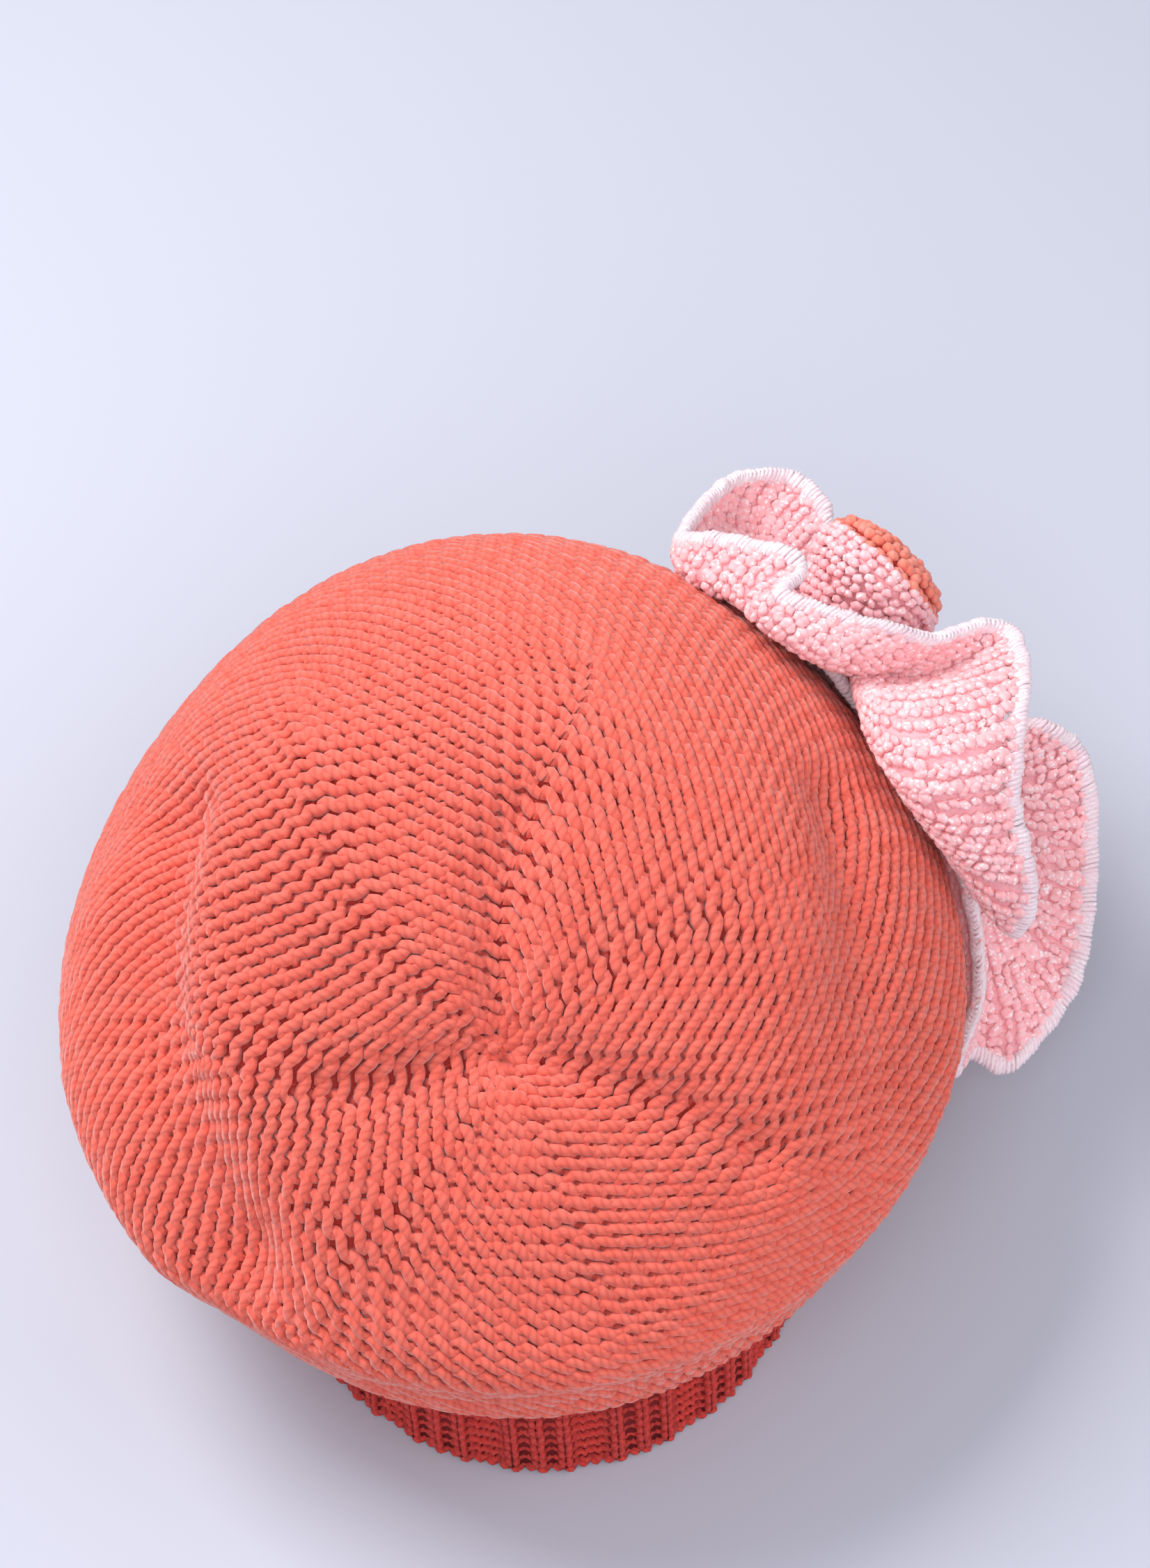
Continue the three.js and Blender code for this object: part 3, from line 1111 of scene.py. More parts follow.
# The band's yarn is the bag's coral yarn, painted darker and deeper red: painted shade.
SHADED_BAND_YARN = YarnFinish(
    "band_coral_yarn_painted_shade", (0.74, 0.060, 0.048), (0.26, 0.014, 0.014), (0.70, 0.070, 0.056),
    halo=(0.9, 0.30, 0.27), sheen=0.15,
)
FRILL_YARN = YarnFinish(
    "pale_pink_yarn", (0.99, 0.56, 0.59), (0.88, 0.26, 0.29), (1.0, 0.68, 0.71),
    halo=(1.0, 0.80, 0.83), roughness=0.6, sheen=0.3, sparkle=0.10,
)
EDGING_YARN = YarnFinish(
    "white_yarn", (0.92, 0.80, 0.84), (0.80, 0.58, 0.64), (0.94, 0.73, 0.79),
    halo=(1.0, 0.95, 0.98), roughness=0.7, sheen=0.5, sparkle=0.05, shade=0.0,
)
HEART_YARN = YarnFinish("coral_heart_yarn", (0.90, 0.24, 0.16), (0.66, 0.10, 0.07), (0.93, 0.34, 0.26))
# Grounds are darker sheets between the loops: painted shade.
BAG_GROUND_SHADE = GroundFinish("coral_ground_painted_shade", (0.30, 0.030, 0.024))
BAND_GROUND_SHADE = GroundFinish("band_ground_painted_shade", (0.16, 0.016, 0.016))
FRILL_GROUND_SHADE = GroundFinish("pink_ground_painted_shade", (0.85, 0.33, 0.36))


# ---------------------------------------------------------------------------- frame
class BeanieFrame:
    """Turns millimetres from the band's centre into the part's frame."""

    def __init__(self) -> None:
        """Finds the band's centre from the CAD band."""
        low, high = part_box("rib_band")
        self.centre = np.array([(low.x + high.x) / 2, (low.y + high.y) / 2, low.z])

    def place(self, points: Array) -> Array:
        """Returns points given in millimetres from the band's centre in the part's frame."""
        return np.asarray(points, float) * MM + self.centre


# ---------------------------------------------------------------------------- the bag
class Ring(NamedTuple):
    """One ring of the bag, in millimetres.

    Attributes:
        x: Its middle, sideways.
        y: Its middle, towards the back.
        z: Its middle, upwards.
        half_wide: Half its width.
        half_deep: Half its depth.
        tilt: How far it tilts back, in degrees.
    """

    x: float
    y: float
    z: float
    half_wide: float
    half_deep: float
    tilt: float


BAG_RINGS = np.array([
    Ring(9, 36, 128, 0, 0, 34),
    Ring(9, 36, 128, 14, 14, 34),
    Ring(9, 36, 128.5, 32, 31, 34),
    Ring(9, 32, 128, 54, 53, 32),
    Ring(8, 22, 127, 75, 76, 29),
    Ring(6, 3, 120, 92, 106, 22),
    Ring(3, -14, 103, 108, 124, 14),
    Ring(3, -22, 79, 124, 128, 5),
    Ring(3, -19, 58, 118, 120, 0),
    Ring(2, -7, 46, 102, 107, 0),
    Ring(0, 0, 38, 78, 92, 0),
], float)


@dataclass(frozen=True)
class Fold:
    """A soft fold along a path, in millimetres.

    Attributes:
        name: What the fold is.
        width: Half its width.
        depth: How far it is pressed in, or raised where it is negative.
        path: Points that it passes through.
    """

    name: str
    width: float
    depth: float
    path: tuple[Triple, ...]

    def push(self, points: Array) -> Array:
        """Works out what the fold does to points.

        Args:
            points: Points in millimetres.

        Returns:
            How far each point is moved outwards, in millimetres.
        """
        corners = np.array(self.path, float)
        nearest = np.full(points.shape[:-1], np.inf)
        for start, end in zip(corners, corners[1:]):
            edge = end - start
            share = np.clip((points - start) @ edge / (edge @ edge), 0.0, 1.0)
            gap = points - (start + share[..., None] * edge)
            nearest = np.minimum(nearest, np.linalg.norm(gap, axis=-1))
        return -self.depth * np.exp(-((nearest / self.width) ** 2))


BAG_FOLDS = (
    Fold("left shoulder", 20, -4, ((76, -30, 142), (79, 10, 126), (64, 62, 100))),
    Fold("left valley", 16, 12, ((90, -40, 134), (95, 6, 112), (80, 62, 88))),
    Fold("left lobe", 20, -6, ((112, -30, 106), (117, 5, 92), (98, 54, 80))),
    Fold("right crease", 9, 5, ((-86, -36, 128), (-89, -9, 119), (-84, 14, 108))),
    Fold("right lobe", 18, -3, ((-104, -30, 104), (-104, 10, 92))),
    Fold("front crown line", 8, 5.5, ((8, 30, 131), (4, -3, 152), (-3, -18, 157))),
    Fold("right crown line", 8, 5.5, ((2, 38, 126), (-41, 53, 114), (-56, 60, 104))),
    Fold("left crown line", 8, 4.5, ((14, 38, 127), (37, 42, 124), (53, 42, 122))),
    Fold("left front line", 8, 2, ((20, 24, 134), (34, 6, 144))),
    Fold("left front ridge", 14, -2.5, ((50, -40, 157), (56, -58, 156))),
)


class BagSurface:
    """The bag's outer surface, read by angle round the crown and by knitted row."""

    COLUMNS = 720
    STATIONS_PER_RING = 20
    STEP = 0.02
    ROW = 4.55
    GRAIN = 0.25

    def __init__(self, place: BeanieFrame) -> None:
        """Measures the surface along lines out of the crown.

        Args:
            place: Frame of the tables.
        """
        self.place = place
        angle = np.radians(np.arange(self.COLUMNS) * 360.0 / self.COLUMNS)
        station = np.linspace(0, len(BAG_RINGS) - 1, (len(BAG_RINGS) - 1) * self.STATIONS_PER_RING + 1)
        angles, stations = np.meshgrid(angle, station, indexing="ij")
        points = self.folded(angles, stations)
        normals = self._grid_normals(points)
        steps = np.linalg.norm(np.diff(points, axis=1), axis=-1)
        lengths = np.concatenate([np.zeros((self.COLUMNS, 1)), np.cumsum(steps, axis=1)], axis=1)
        self.last_row = lengths[:, -1] / self.ROW
        self.row_grid = np.arange(0.0, self.last_row.max() + 1.0, self.GRAIN)
        shape = (self.COLUMNS, len(self.row_grid), 3)
        self.points = np.empty(shape)
        self.normals = np.empty(shape)
        for column in range(self.COLUMNS):
            for axis in range(3):
                rows = lengths[column] / self.ROW
                self.points[column, :, axis] = np.interp(self.row_grid, rows, points[column, :, axis])
                self.normals[column, :, axis] = np.interp(self.row_grid, rows, normals[column, :, axis])

    def loft(self, angle: Array, station: Array) -> Array:
        """Smooth surface before its folds, in millimetres.

        Args:
            angle: Angle round the crown in radians, 0 at -X and a quarter turn at -Y.
            station: Fractional ring number.

        Returns:
            Points of the surface.
        """
        x, y, z, wide, deep, tilt = np.moveaxis(catmull_rom(BAG_RINGS, station, False), -1, 0)
        across = wide * np.cos(angle)
        forward = deep * np.sin(angle)
        tilt = np.radians(tilt)
        return np.stack([x - across, y - forward * np.cos(tilt), z + forward * np.sin(tilt)], axis=-1)

    def folded(self, angle: Array, station: Array) -> Array:
        """Surface with its folds, in millimetres.

        Args:
            angle: Angle round the crown in radians.
            station: Fractional ring number.

        Returns:
            Points of the surface.
        """
        points = self.loft(angle, station)
        across = self.loft(angle + self.STEP, station) - self.loft(angle - self.STEP, station)
        down = self.loft(angle, station + self.STEP) - self.loft(angle, station - self.STEP)
        normal = unit(np.cross(down, across))
        push = sum(fold.push(points) for fold in BAG_FOLDS)
        fade = np.clip((len(BAG_RINGS) - 1 - station) * 2.0, 0.0, 1.0)
        return points + normal * (push * fade)[..., None]

    def _grid_normals(self, points: Array) -> Array:
        """Outward normals of a grid of points. The pole takes the mean of its neighbours.

        Args:
            points: Grid of points, with angles first and stations second.

        Returns:
            Grid of unit normals.
        """
        across = np.roll(points, -1, axis=0) - np.roll(points, 1, axis=0)
        down = np.gradient(points, axis=1)
        normals = unit(np.cross(down, across))
        normals[:, 0] = unit(normals[:, 2].mean(axis=0))
        normals[:, 1] = unit(normals[:, 0] + normals[:, 2])
        return normals

    def _read(self, grid: Array, angle: Array, row: Array) -> Array:
        """Bilinear reading of a grid.

        Args:
            grid: Points or normals, with angles first and rows second.
            angle: Angles in degrees.
            row: Fractional rows.

        Returns:
            What the grid holds there.
        """
        column = np.mod(angle, 360.0) / 360.0 * self.COLUMNS
        left = np.floor(column).astype(int)
        side = (column - left)[..., None]
        deep = np.clip(row / self.GRAIN, 0.0, len(self.row_grid) - 1.001)
        top = np.floor(deep).astype(int)
        down = (deep - top)[..., None]
        left = left % self.COLUMNS
        right = (left + 1) % self.COLUMNS
        upper = grid[left, top] * (1 - side) + grid[right, top] * side
        lower = grid[left, top + 1] * (1 - side) + grid[right, top + 1] * side
        return upper * (1 - down) + lower * down

    def end_row(self, angle: Array) -> Array:
        """Row at which the surface meets the band, for angles in degrees."""
        column = np.mod(angle, 360.0) / 360.0 * self.COLUMNS
        return np.interp(column, np.arange(self.COLUMNS + 1), np.append(self.last_row, self.last_row[0]))

    def at(self, angle: Array, row: Array, depth: float) -> Array:
        """Places below the outer surface.

        Args:
            angle: Angles in degrees.
            row: Fractional rows.
            depth: Depth in millimetres.

        Returns:
            Points in the part's frame.
        """
        angle, row = np.broadcast_arrays(np.asarray(angle, float), np.asarray(row, float))
        points = self._read(self.points, angle, row) - depth * self.outward(angle, row)
        return self.place.place(points)

    def outward(self, angle: Array, row: Array) -> Array:
        """Unit outward normals."""
        angle, row = np.broadcast_arrays(np.asarray(angle, float), np.asarray(row, float))
        return unit(self._read(self.normals, angle, row))


@dataclass(frozen=True)
class WedgeLine:
    """A line of decreases.

    Attributes:
        name: Where the line runs.
        rows: Rows at which its angle is known.
        angles: Its angle round the crown at those rows, in degrees.
    """

    name: str
    rows: tuple[float, ...]
    angles: tuple[float, ...]

    def angle(self, row: float) -> float:
        """Returns the line's angle in degrees at a row."""
        return float(np.interp(row, self.rows, self.angles))


WEDGE_LINES = (
    WedgeLine("front", (0, 10, 13, 23.5), (85, 84, 78, 68)),
    WedgeLine("front right", (0, 25.2), (41, 12)),
    WedgeLine("right", (0, 2, 6, 12, 17.8), (-12, -16, -21, -28, -36)),
    WedgeLine("back right", (0, 15.6), (-64, -78)),
    WedgeLine("back left", (0, 17.5), (-104, -125)),
    WedgeLine("left", (0, 1, 6, 10, 16.4), (-148, -152, -164, -168, -176)),
    WedgeLine("front left", (0, 22.4), (-225, -236)),
)


@dataclass
class SlouchBag:
    """The knitted bag: rounds of loops out from the crown, on a thin ground.

    Attributes:
        place: Frame of the tables.
        looper: Yarn maker.
        napper: Maker of loose fibres.
        rounds_of_increase: Rounds over which the wedges widen.
        wedge_stitches: Stitches of a wedge outside the crown.
        hem_rows: Rows next to the band that run level with it.
        middle: Depth of the fabric's middle below its outer surface, in millimetres.
        shape: Shape of a loop.
    """

    place: BeanieFrame
    looper: YarnLooper
    napper: NapMaker
    rounds_of_increase: int = 27
    wedge_stitches: int = 18
    hem_rows: int = 5
    middle: float = 1.8
    shape: LoopShape = LoopShape(
        cosine=(0.240, 0.290, 0.42 * MM),
        sine=(0.187, 0.192, -0.68 * MM),
        double_cosine=(-0.072, 0.092, 0.09 * MM),
        double_sine=(0.021, -0.033, 0.20 * MM),
        radius=1.52 * MM,
        swell=0.20,
    )

    PIECES = (
        ("bag_crown_yarn", 0, 21),
        ("bag_shoulder_yarn", 21, 34),
        ("bag_side_yarn", 34, 50),
        ("bag_under_yarn", 50, None),
    )
    NAP = Nap(21.0)
    NAP_DEPTH = 0.4
    NAP_DEGREES = 6.0
    NAP_RINGS = 40
    EDGE_STITCHES = (0.25, 1.5)
    STRAIGHT_ROWS = (18.0, 30.0)
    SHORTEST_ROW = 6
    CHORD_MEAN = 1.035
    HEM_OVERLAP = 0.6
    HEM_START = 0.4
    TUCK = 1.3 * MM
    TUCK_POINTS = 3.0
    THINNEST = 0.9
    THICKEST = 1.3
    GROUND_DEPTHS = (0.4, 0.9)
    GROUND_DEGREES = 4.0
    GROUND_RINGS = 60

    def __post_init__(self) -> None:
        """Measures the surface."""
        self.surface = BagSurface(self.place)

    def build(self) -> list[bpy.types.Object]:
        """Makes the bag.

        Returns:
            The bag's pieces.
        """
        yarn = BAG_YARN.material()
        rows = [self._row(number) for number in range(1, int(self.surface.last_row.max()) + 1)]
        rows = [row for row in rows if row is not None]
        pieces = []
        for name, low, high in self.PIECES:
            strands = Strands()
            for points, attributes in rows[low:high]:
                strands.add(points, **attributes)
            pieces.append(self.looper.make(strands, name, self.shape, yarn))
            log.info("%s: %.0f stitches", name, strands.stitches())
        pieces.append(self.looper.make(self._hem(), "bag_hem_yarn", self.shape, yarn))
        pieces.append(self._ground())
        pieces.append(self.napper.make(self._outside(), "bag_loose_fibres", self.NAP, yarn))
        return pieces

    def _outside(self) -> bpy.types.Mesh:
        """Makes the sheet that the loose fibres stand on.

        Returns:
            A sheet along the tops of the loops.
        """
        columns = np.arange(0, 360, self.NAP_DEGREES)
        ends = self.surface.end_row(columns)
        shares = np.linspace(0.02, 1, self.NAP_RINGS)
        rings = [self.surface.at(columns, ends * share, self.NAP_DEPTH) for share in shares]
        return mesh_strip("bag_outside", rings)

    def wedge_width(self, row: float) -> float:
        """Returns the width of one wedge at a row, in stitches."""
        return self.wedge_stitches * min(1.0, row / self.rounds_of_increase)

    def stitches_in_wedge(self, row: float) -> int:
        """Returns the stitches of one wedge at a row, which come and go in pairs."""
        width = self.wedge_width(row)
        return 1 if width < 1.5 else 2 * round(width / 2.0)

    def angle_of(self, row: float, stitch: Array) -> Array:
        """Angle round the crown of stitches, counted clockwise from the front line.

        Inside a wedge the columns run side by side, and the stitches next to its lines
        take up what is left of its width.

        Args:
            row: Row of the stitches.
            stitch: Fractional stitch numbers.

        Returns:
            Angles in degrees.
        """
        count = self.stitches_in_wedge(row)
        width = self.wedge_width(row)
        least, most = self.EDGE_STITCHES
        edge = min(most, max(count / 2.0 - 0.5, least))
        wedge = np.floor(stitch / count)
        middle = count / 2.0
        offset = stitch - wedge * count - middle
        share = np.interp(
            offset,
            (-middle, edge - middle, middle - edge, middle),
            (-1.0, 2.0 * (edge - middle) / width, 2.0 * (middle - edge) / width, 1.0),
        )
        index = wedge.astype(int) % len(WEDGE_LINES)
        turns = (wedge.astype(int) - index) / len(WEDGE_LINES) * 360.0
        lines = np.array([line.angle(row) for line in WEDGE_LINES] + [WEDGE_LINES[0].angle(row) - 360.0])
        centre = (lines[index] + lines[index + 1]) / 2.0
        half = (lines[index] - lines[index + 1]) / 2.0
        bent = np.degrees(np.arctan(share * np.tan(np.radians(half)))) / half
        return centre - half * (share + (bent - share) * self.straightness(row)) - turns

    def straightness(self, row: float) -> float:
        """Returns 1 where rows run straight across each wedge and 0 where they are round."""
        return float(np.interp(row, self.STRAIGHT_ROWS, (1.0, 0.0)))

    def reach_of(self, row: float, angle: Array) -> Array:
        """Distance from the crown of one row, which runs straight across each wedge.

        Args:
            row: Row number.
            angle: Angles in degrees.

        Returns:
            Distance in rows for each angle.
        """
        first = WEDGE_LINES[0].angle(row)
        lines = np.array([line.angle(row) for line in WEDGE_LINES] + [first - 360.0])
        turned = first - np.mod(first - angle, 360.0)
        index = np.clip(np.searchsorted(-lines, -turned, side="right") - 1, 0, len(WEDGE_LINES) - 1)
        chords = 1.0 / np.cos(np.radians(lines[:-1] - lines[1:]) / 2.0)
        corners = (chords + np.roll(chords, 1)) / 2.0 / self.CHORD_MEAN
        near, far = corners[index], np.append(corners, corners[0])[index + 1]
        before, after = np.radians(lines[index] - turned), np.radians(turned - lines[index + 1])
        straight = near * far * np.sin(before + after) / (near * np.sin(before) + far * np.sin(after))
        return row * (1.0 + (straight - 1.0) * self.straightness(row))

    def _row(self, row: int) -> Optional[tuple[Array, dict[str, Array]]]:
        """Course of one row, all round or as far as the surface reaches.

        Args:
            row: Row number, from 1 at the crown.

        Returns:
            Points and attributes, or None where the row has no length.
        """
        total = self.stitches_in_wedge(row) * len(WEDGE_LINES)
        stitch = np.arange(0, total * 2 + 1) / 2.0
        reach = self.surface.end_row(self.angle_of(row, stitch)) - self.hem_rows + self.HEM_OVERLAP
        inside = reach >= row
        if not inside.all():
            if inside.sum() < self.SHORTEST_ROW:
                return None
            start = int(np.argmin(inside))
            order = (np.arange(total * 2) + start) % (total * 2)
            order = order[inside[order]]
            stitch = stitch[order[0]] + np.arange(len(order)) / 2.0
        rows = self.reach_of(row, self.angle_of(row, stitch))
        return self._course(row, rows, stitch, not inside.all())

    def _course(
        self, row: float, rows: Array, stitch: Array, tucked: bool
    ) -> tuple[Array, dict[str, Array]]:
        """Points and attributes of a course.

        Args:
            row: Row that sets the stitch count.
            rows: Row of each point.
            stitch: Stitch number of each point.
            tucked: True where the course's ends turn in.

        Returns:
            Points and attributes.
        """
        angles = self.angle_of(row, stitch)
        points = self.surface.at(angles, rows, self.middle)
        ahead = self.surface.at(np.gradient(angles) * 0.5 + angles, rows, self.middle)
        behind = self.surface.at(angles - np.gradient(angles) * 0.5, rows, self.middle)
        course = (ahead - behind) * 2.0
        above = self.surface.at(angles, rows - 0.5, self.middle)
        wale = above - self.surface.at(angles, rows + 0.5, self.middle)
        outward = self.surface.outward(angles, rows)
        if tucked:
            away = np.minimum(np.arange(len(stitch)), np.arange(len(stitch))[::-1]) / self.TUCK_POINTS
            points = points - outward * (self.TUCK * np.clip(1.0 - away, 0.0, 1.0) ** 2)[:, None]
        tall = np.linalg.norm(wale, axis=-1) / (self.surface.ROW * MM)
        attributes = {
            "course": course,
            "wale": wale,
            "outward": outward,
            "stitch": stitch,
            "side": np.ones(len(stitch)),
            "thickness": np.clip(tall, self.THINNEST, self.THICKEST),
        }
        return points, attributes

    def _hem(self) -> Strands:
        """Makes the rows that run level with the band, just above it.

        Returns:
            The rows.
        """
        strands = Strands()
        total = self.wedge_stitches * len(WEDGE_LINES)
        stitch = np.arange(0, total * 2 + 1) / 2.0
        far_row = float(self.rounds_of_increase)
        ends = self.surface.end_row(self.angle_of(far_row, stitch))
        for number in range(self.hem_rows):
            rows = ends - self.HEM_START - number
            points, attributes = self._course(far_row, rows, stitch, False)
            strands.add(points, **attributes)
        return strands

    def _ground(self) -> bpy.types.Object:
        """Makes the thin closed sheet that the loops sit in, darker as painted shade between them.

        Returns:
            The sheet.
        """
        columns = np.arange(0, 360, self.GROUND_DEGREES)
        ends = self.surface.end_row(columns)
        shares = np.linspace(0, 1, self.GROUND_RINGS)[1:]
        layers = []
        for extra in self.GROUND_DEPTHS:
            depth = self.middle + extra
            pole = self.surface.at(columns[:1], 0.0, depth)
            layers.append([pole, *(self.surface.at(columns, ends * share, depth) for share in shares)])
        mesh = ring_chain("bag_ground", [*layers[0], *layers[1][::-1]])
        return mesh_object("bag_ground", mesh, BAG_GROUND_SHADE.material())


# ---------------------------------------------------------------------------- the band
class Rib(Enum):
    """What a column of the band is knitted as, and which way its loops face."""

    KNIT = -1
    PURL = 1


@dataclass
class RibBand:
    """The ribbed band: groups of knit columns between sunken purl columns.

    Attributes:
        place: Frame of the tables.
        looper: Yarn maker.
        half_wide: Half the oval's size along X, in millimetres.
        half_deep: Half the oval's size along Y, in millimetres.
        repeats: Number of rib repeats.
        pattern: Columns of one repeat.
        rows: Rows of loops.
        first_row: Height of the lowest row, in millimetres.
        row_pitch: Height of a row, in millimetres.
        middle: Depth of the fabric's middle below the outer oval, in millimetres.
        rise: How far knit columns stand out and purl columns sink, in millimetres.
        shape: Shape of a loop.
    """

    place: BeanieFrame
    looper: YarnLooper
    half_wide: float = 78.0
    half_deep: float = 92.0
    repeats: int = 18
    pattern: tuple[Rib, ...] = (Rib.KNIT, Rib.PURL) * 2 + (Rib.KNIT,) + (Rib.PURL,) * 3
    rows: int = 8
    first_row: float = 5.0
    row_pitch: float = 4.4
    middle: float = 1.8
    rise: float = 1.3
    shape: LoopShape = LoopShape(
        cosine=(0.0, 0.6, 0.0),
        double_cosine=(0.0, 0.0, 0.85 * MM),
        double_sine=(0.22, 0.0, 0.0),
        radius=1.12 * MM,
        cuts=3,
        wander=0.4 * MM,
    )

    EDGE_SHAPE = LoopShape(
        cosine=(0.0, 0.55, 0.0), sine=(0.0, 0.0, 0.8 * MM), radius=1.0 * MM, cuts=2, wander=0.1 * MM
    )
    EDGE_HEIGHT = 1.7
    EDGE_RISE = 0.6
    GROUND_HEIGHTS = (1.5, 37.5)
    GROUND_HALF_WALL = 0.3
    GROUND_COLUMNS = 252
    OUTLINE_POINTS = 1441

    def build(self) -> list[bpy.types.Object]:
        """Makes the band.

        Returns:
            The band's pieces.
        """
        yarn = SHADED_BAND_YARN.material()
        rounds = Strands()
        for number in range(self.rows):
            self._add_round(rounds, self.first_row + number * self.row_pitch, self.rise, self.row_pitch)
        log.info("band_yarn: %.0f stitches", rounds.stitches())
        edge = Strands()
        self._add_round(edge, self.EDGE_HEIGHT, self.rise * self.EDGE_RISE, 1.0, wound=True)
        return [
            self.looper.make(rounds, "band_yarn", self.shape, yarn),
            self.looper.make(edge, "band_cast_on_edge", self.EDGE_SHAPE, yarn),
            self._ground(),
        ]

    def _oval(self, share: Array, inset: float) -> tuple[Array, Array]:
        """Places and outward directions on the oval at shares of its length.

        Args:
            share: Shares of the way round.
            inset: Depth below the outer oval, in millimetres.

        Returns:
            Points in millimetres and unit outward directions, both level.
        """
        angle = np.linspace(0, math.tau, self.OUTLINE_POINTS)
        outline = np.stack([-self.half_wide * np.cos(angle), -self.half_deep * np.sin(angle)], axis=-1)
        lengths = np.concatenate([[0.0], np.cumsum(np.linalg.norm(np.diff(outline, axis=0), axis=-1))])
        turn = np.interp(np.mod(share, 1.0) * lengths[-1], lengths, angle)
        flat = np.zeros_like(turn)
        normal = np.stack([-np.cos(turn) / self.half_wide, -np.sin(turn) / self.half_deep, flat], axis=-1)
        normal = unit(normal)
        points = np.stack([-self.half_wide * np.cos(turn), -self.half_deep * np.sin(turn), flat], axis=-1)
        return points - normal * inset, normal

    def _faces(self, stitch: Array) -> Array:
        """Tells which way the loops face.

        Args:
            stitch: Stitch numbers.

        Returns:
            1 for purl and -1 for knit.
        """
        values = np.array([rib.value for rib in self.pattern], float)
        low = values[np.mod(np.floor(stitch).astype(int), len(values))]
        high = values[np.mod(np.ceil(stitch).astype(int), len(values))]
        return (low + high) / 2.0

    def _add_round(
        self, strands: Strands, height: float, rise: float, tall: float, wound: bool = False
    ) -> None:
        """Adds one round of the rib, or the yarn wound along the rim.

        Args:
            strands: Where the round goes.
            height: Height of the round, in millimetres.
            rise: How far knit columns stand out, in millimetres.
            tall: Height of a row, in millimetres.
            wound: True for the yarn along the rim, which turns in place.
        """
        total = self.repeats * len(self.pattern)
        stitch = np.arange(0, total * 2 + 1) / 2.0
        points, outward = self._oval(stitch / total, self.middle)
        ahead, _ = self._oval((stitch + 0.5) / total, self.middle)
        behind, _ = self._oval((stitch - 0.5) / total, self.middle)
        faces = self._faces(stitch)
        points = points - outward * (faces * rise)[:, None]
        points[:, 2] += height
        up = np.zeros_like(points)
        up[:, 2] = tall * MM
        strands.add(
            self.place.place(points),
            course=outward * 0.0 if wound else (ahead - behind) * MM,
            wale=up,
            outward=outward,
            stitch=stitch,
            side=np.ones(len(stitch)) if wound else faces,
            thickness=np.ones(len(stitch)),
        )

    def _ground(self) -> bpy.types.Object:
        """Makes the thin closed ring that the loops sit in, darker as painted shade between them.

        Returns:
            The ring.
        """
        share = np.arange(self.GROUND_COLUMNS) / self.GROUND_COLUMNS
        low, high = self.GROUND_HEIGHTS
        outside, inside = self.middle - self.GROUND_HALF_WALL, self.middle + self.GROUND_HALF_WALL
        faces = self._faces(share * self.repeats * len(self.pattern))
        rings = []
        for inset, height in ((outside, low), (outside, high), (inside, high), (inside, low)):
            points, outward = self._oval(share, inset)
            points = points - outward * (faces * self.rise)[:, None]
            points[:, 2] += height
            rings.append(self.place.place(points))
        return mesh_object("band_ground", ring_chain("band_ground", rings), BAND_GROUND_SHADE.material())


# ---------------------------------------------------------------------------- the flower
@dataclass(frozen=True)
class FlowerFrame:
    """The flower's own frame on the bag: side, down and out, in millimetres.

    Attributes:
        seat: Where the flower sits, from the band's centre.
        side: Its sideways direction.
        out: Its outward direction.
        hub_side: Where the bud's axis starts, sideways.
        hub_down: Where the bud's axis starts, downwards.
        lean: How far the bud's axis leans up, in degrees.
    """

    seat: Triple = (-92.7, -94.4, 101.3)
    side: Triple = (0.0, 0.5592, 0.829)
    out: Triple = (-0.9063, -0.3503, 0.2364)
    hub_side: float = -5.0
    hub_down: float = -12.0
    lean: float = 16.0

    def place(self, local: Array) -> Array:
        """Turns points of the flower's frame into the tables' frame.

        Args:
            local: Points by side, down and out.

        Returns:
            Points in millimetres from the band's centre.
        """
        side = np.array(self.side)
        out = np.array(self.out)
        basis = np.stack([side, np.cross(out, side), out])
        return np.array(self.seat) + np.asarray(local) @ basis

    def on_axis(self, radius: Array, turn: Array, height: Array) -> Array:
        """Points beside the bud's leaning axis.

        Args:
            radius: Distance from the axis.
            turn: Angle round the axis in radians.
            height: Height along the axis.

        Returns:
            Points of the flower's frame.
        """
        lean = math.radians(self.lean)
        axis_down = self.hub_down - height * math.sin(lean)
        towards = -radius * np.cos(turn)
        side = self.hub_side + radius * np.sin(turn)
        down = axis_down + towards * math.cos(lean)
        out = height * math.cos(lean) + towards * math.sin(lean)
        return np.stack(np.broadcast_arrays(side, down, out), axis=-1)


class Wave(NamedTuple):
    """One ray of a frill, in millimetres of the flower's frame.

    Attributes:
        turn: Its turn round the hub, in degrees.
        rim_side: Its rim, sideways.
        rim_down: Its rim, downwards.
        rim_out: Its rim, outwards.
        belly_side: The point that draws its curve, sideways.
        belly_down: The same point, downwards.
        belly_out: The same point, outwards.
    """

    turn: float
    rim_side: float
    rim_down: float
    rim_out: float
    belly_side: float
    belly_down: float
    belly_out: float


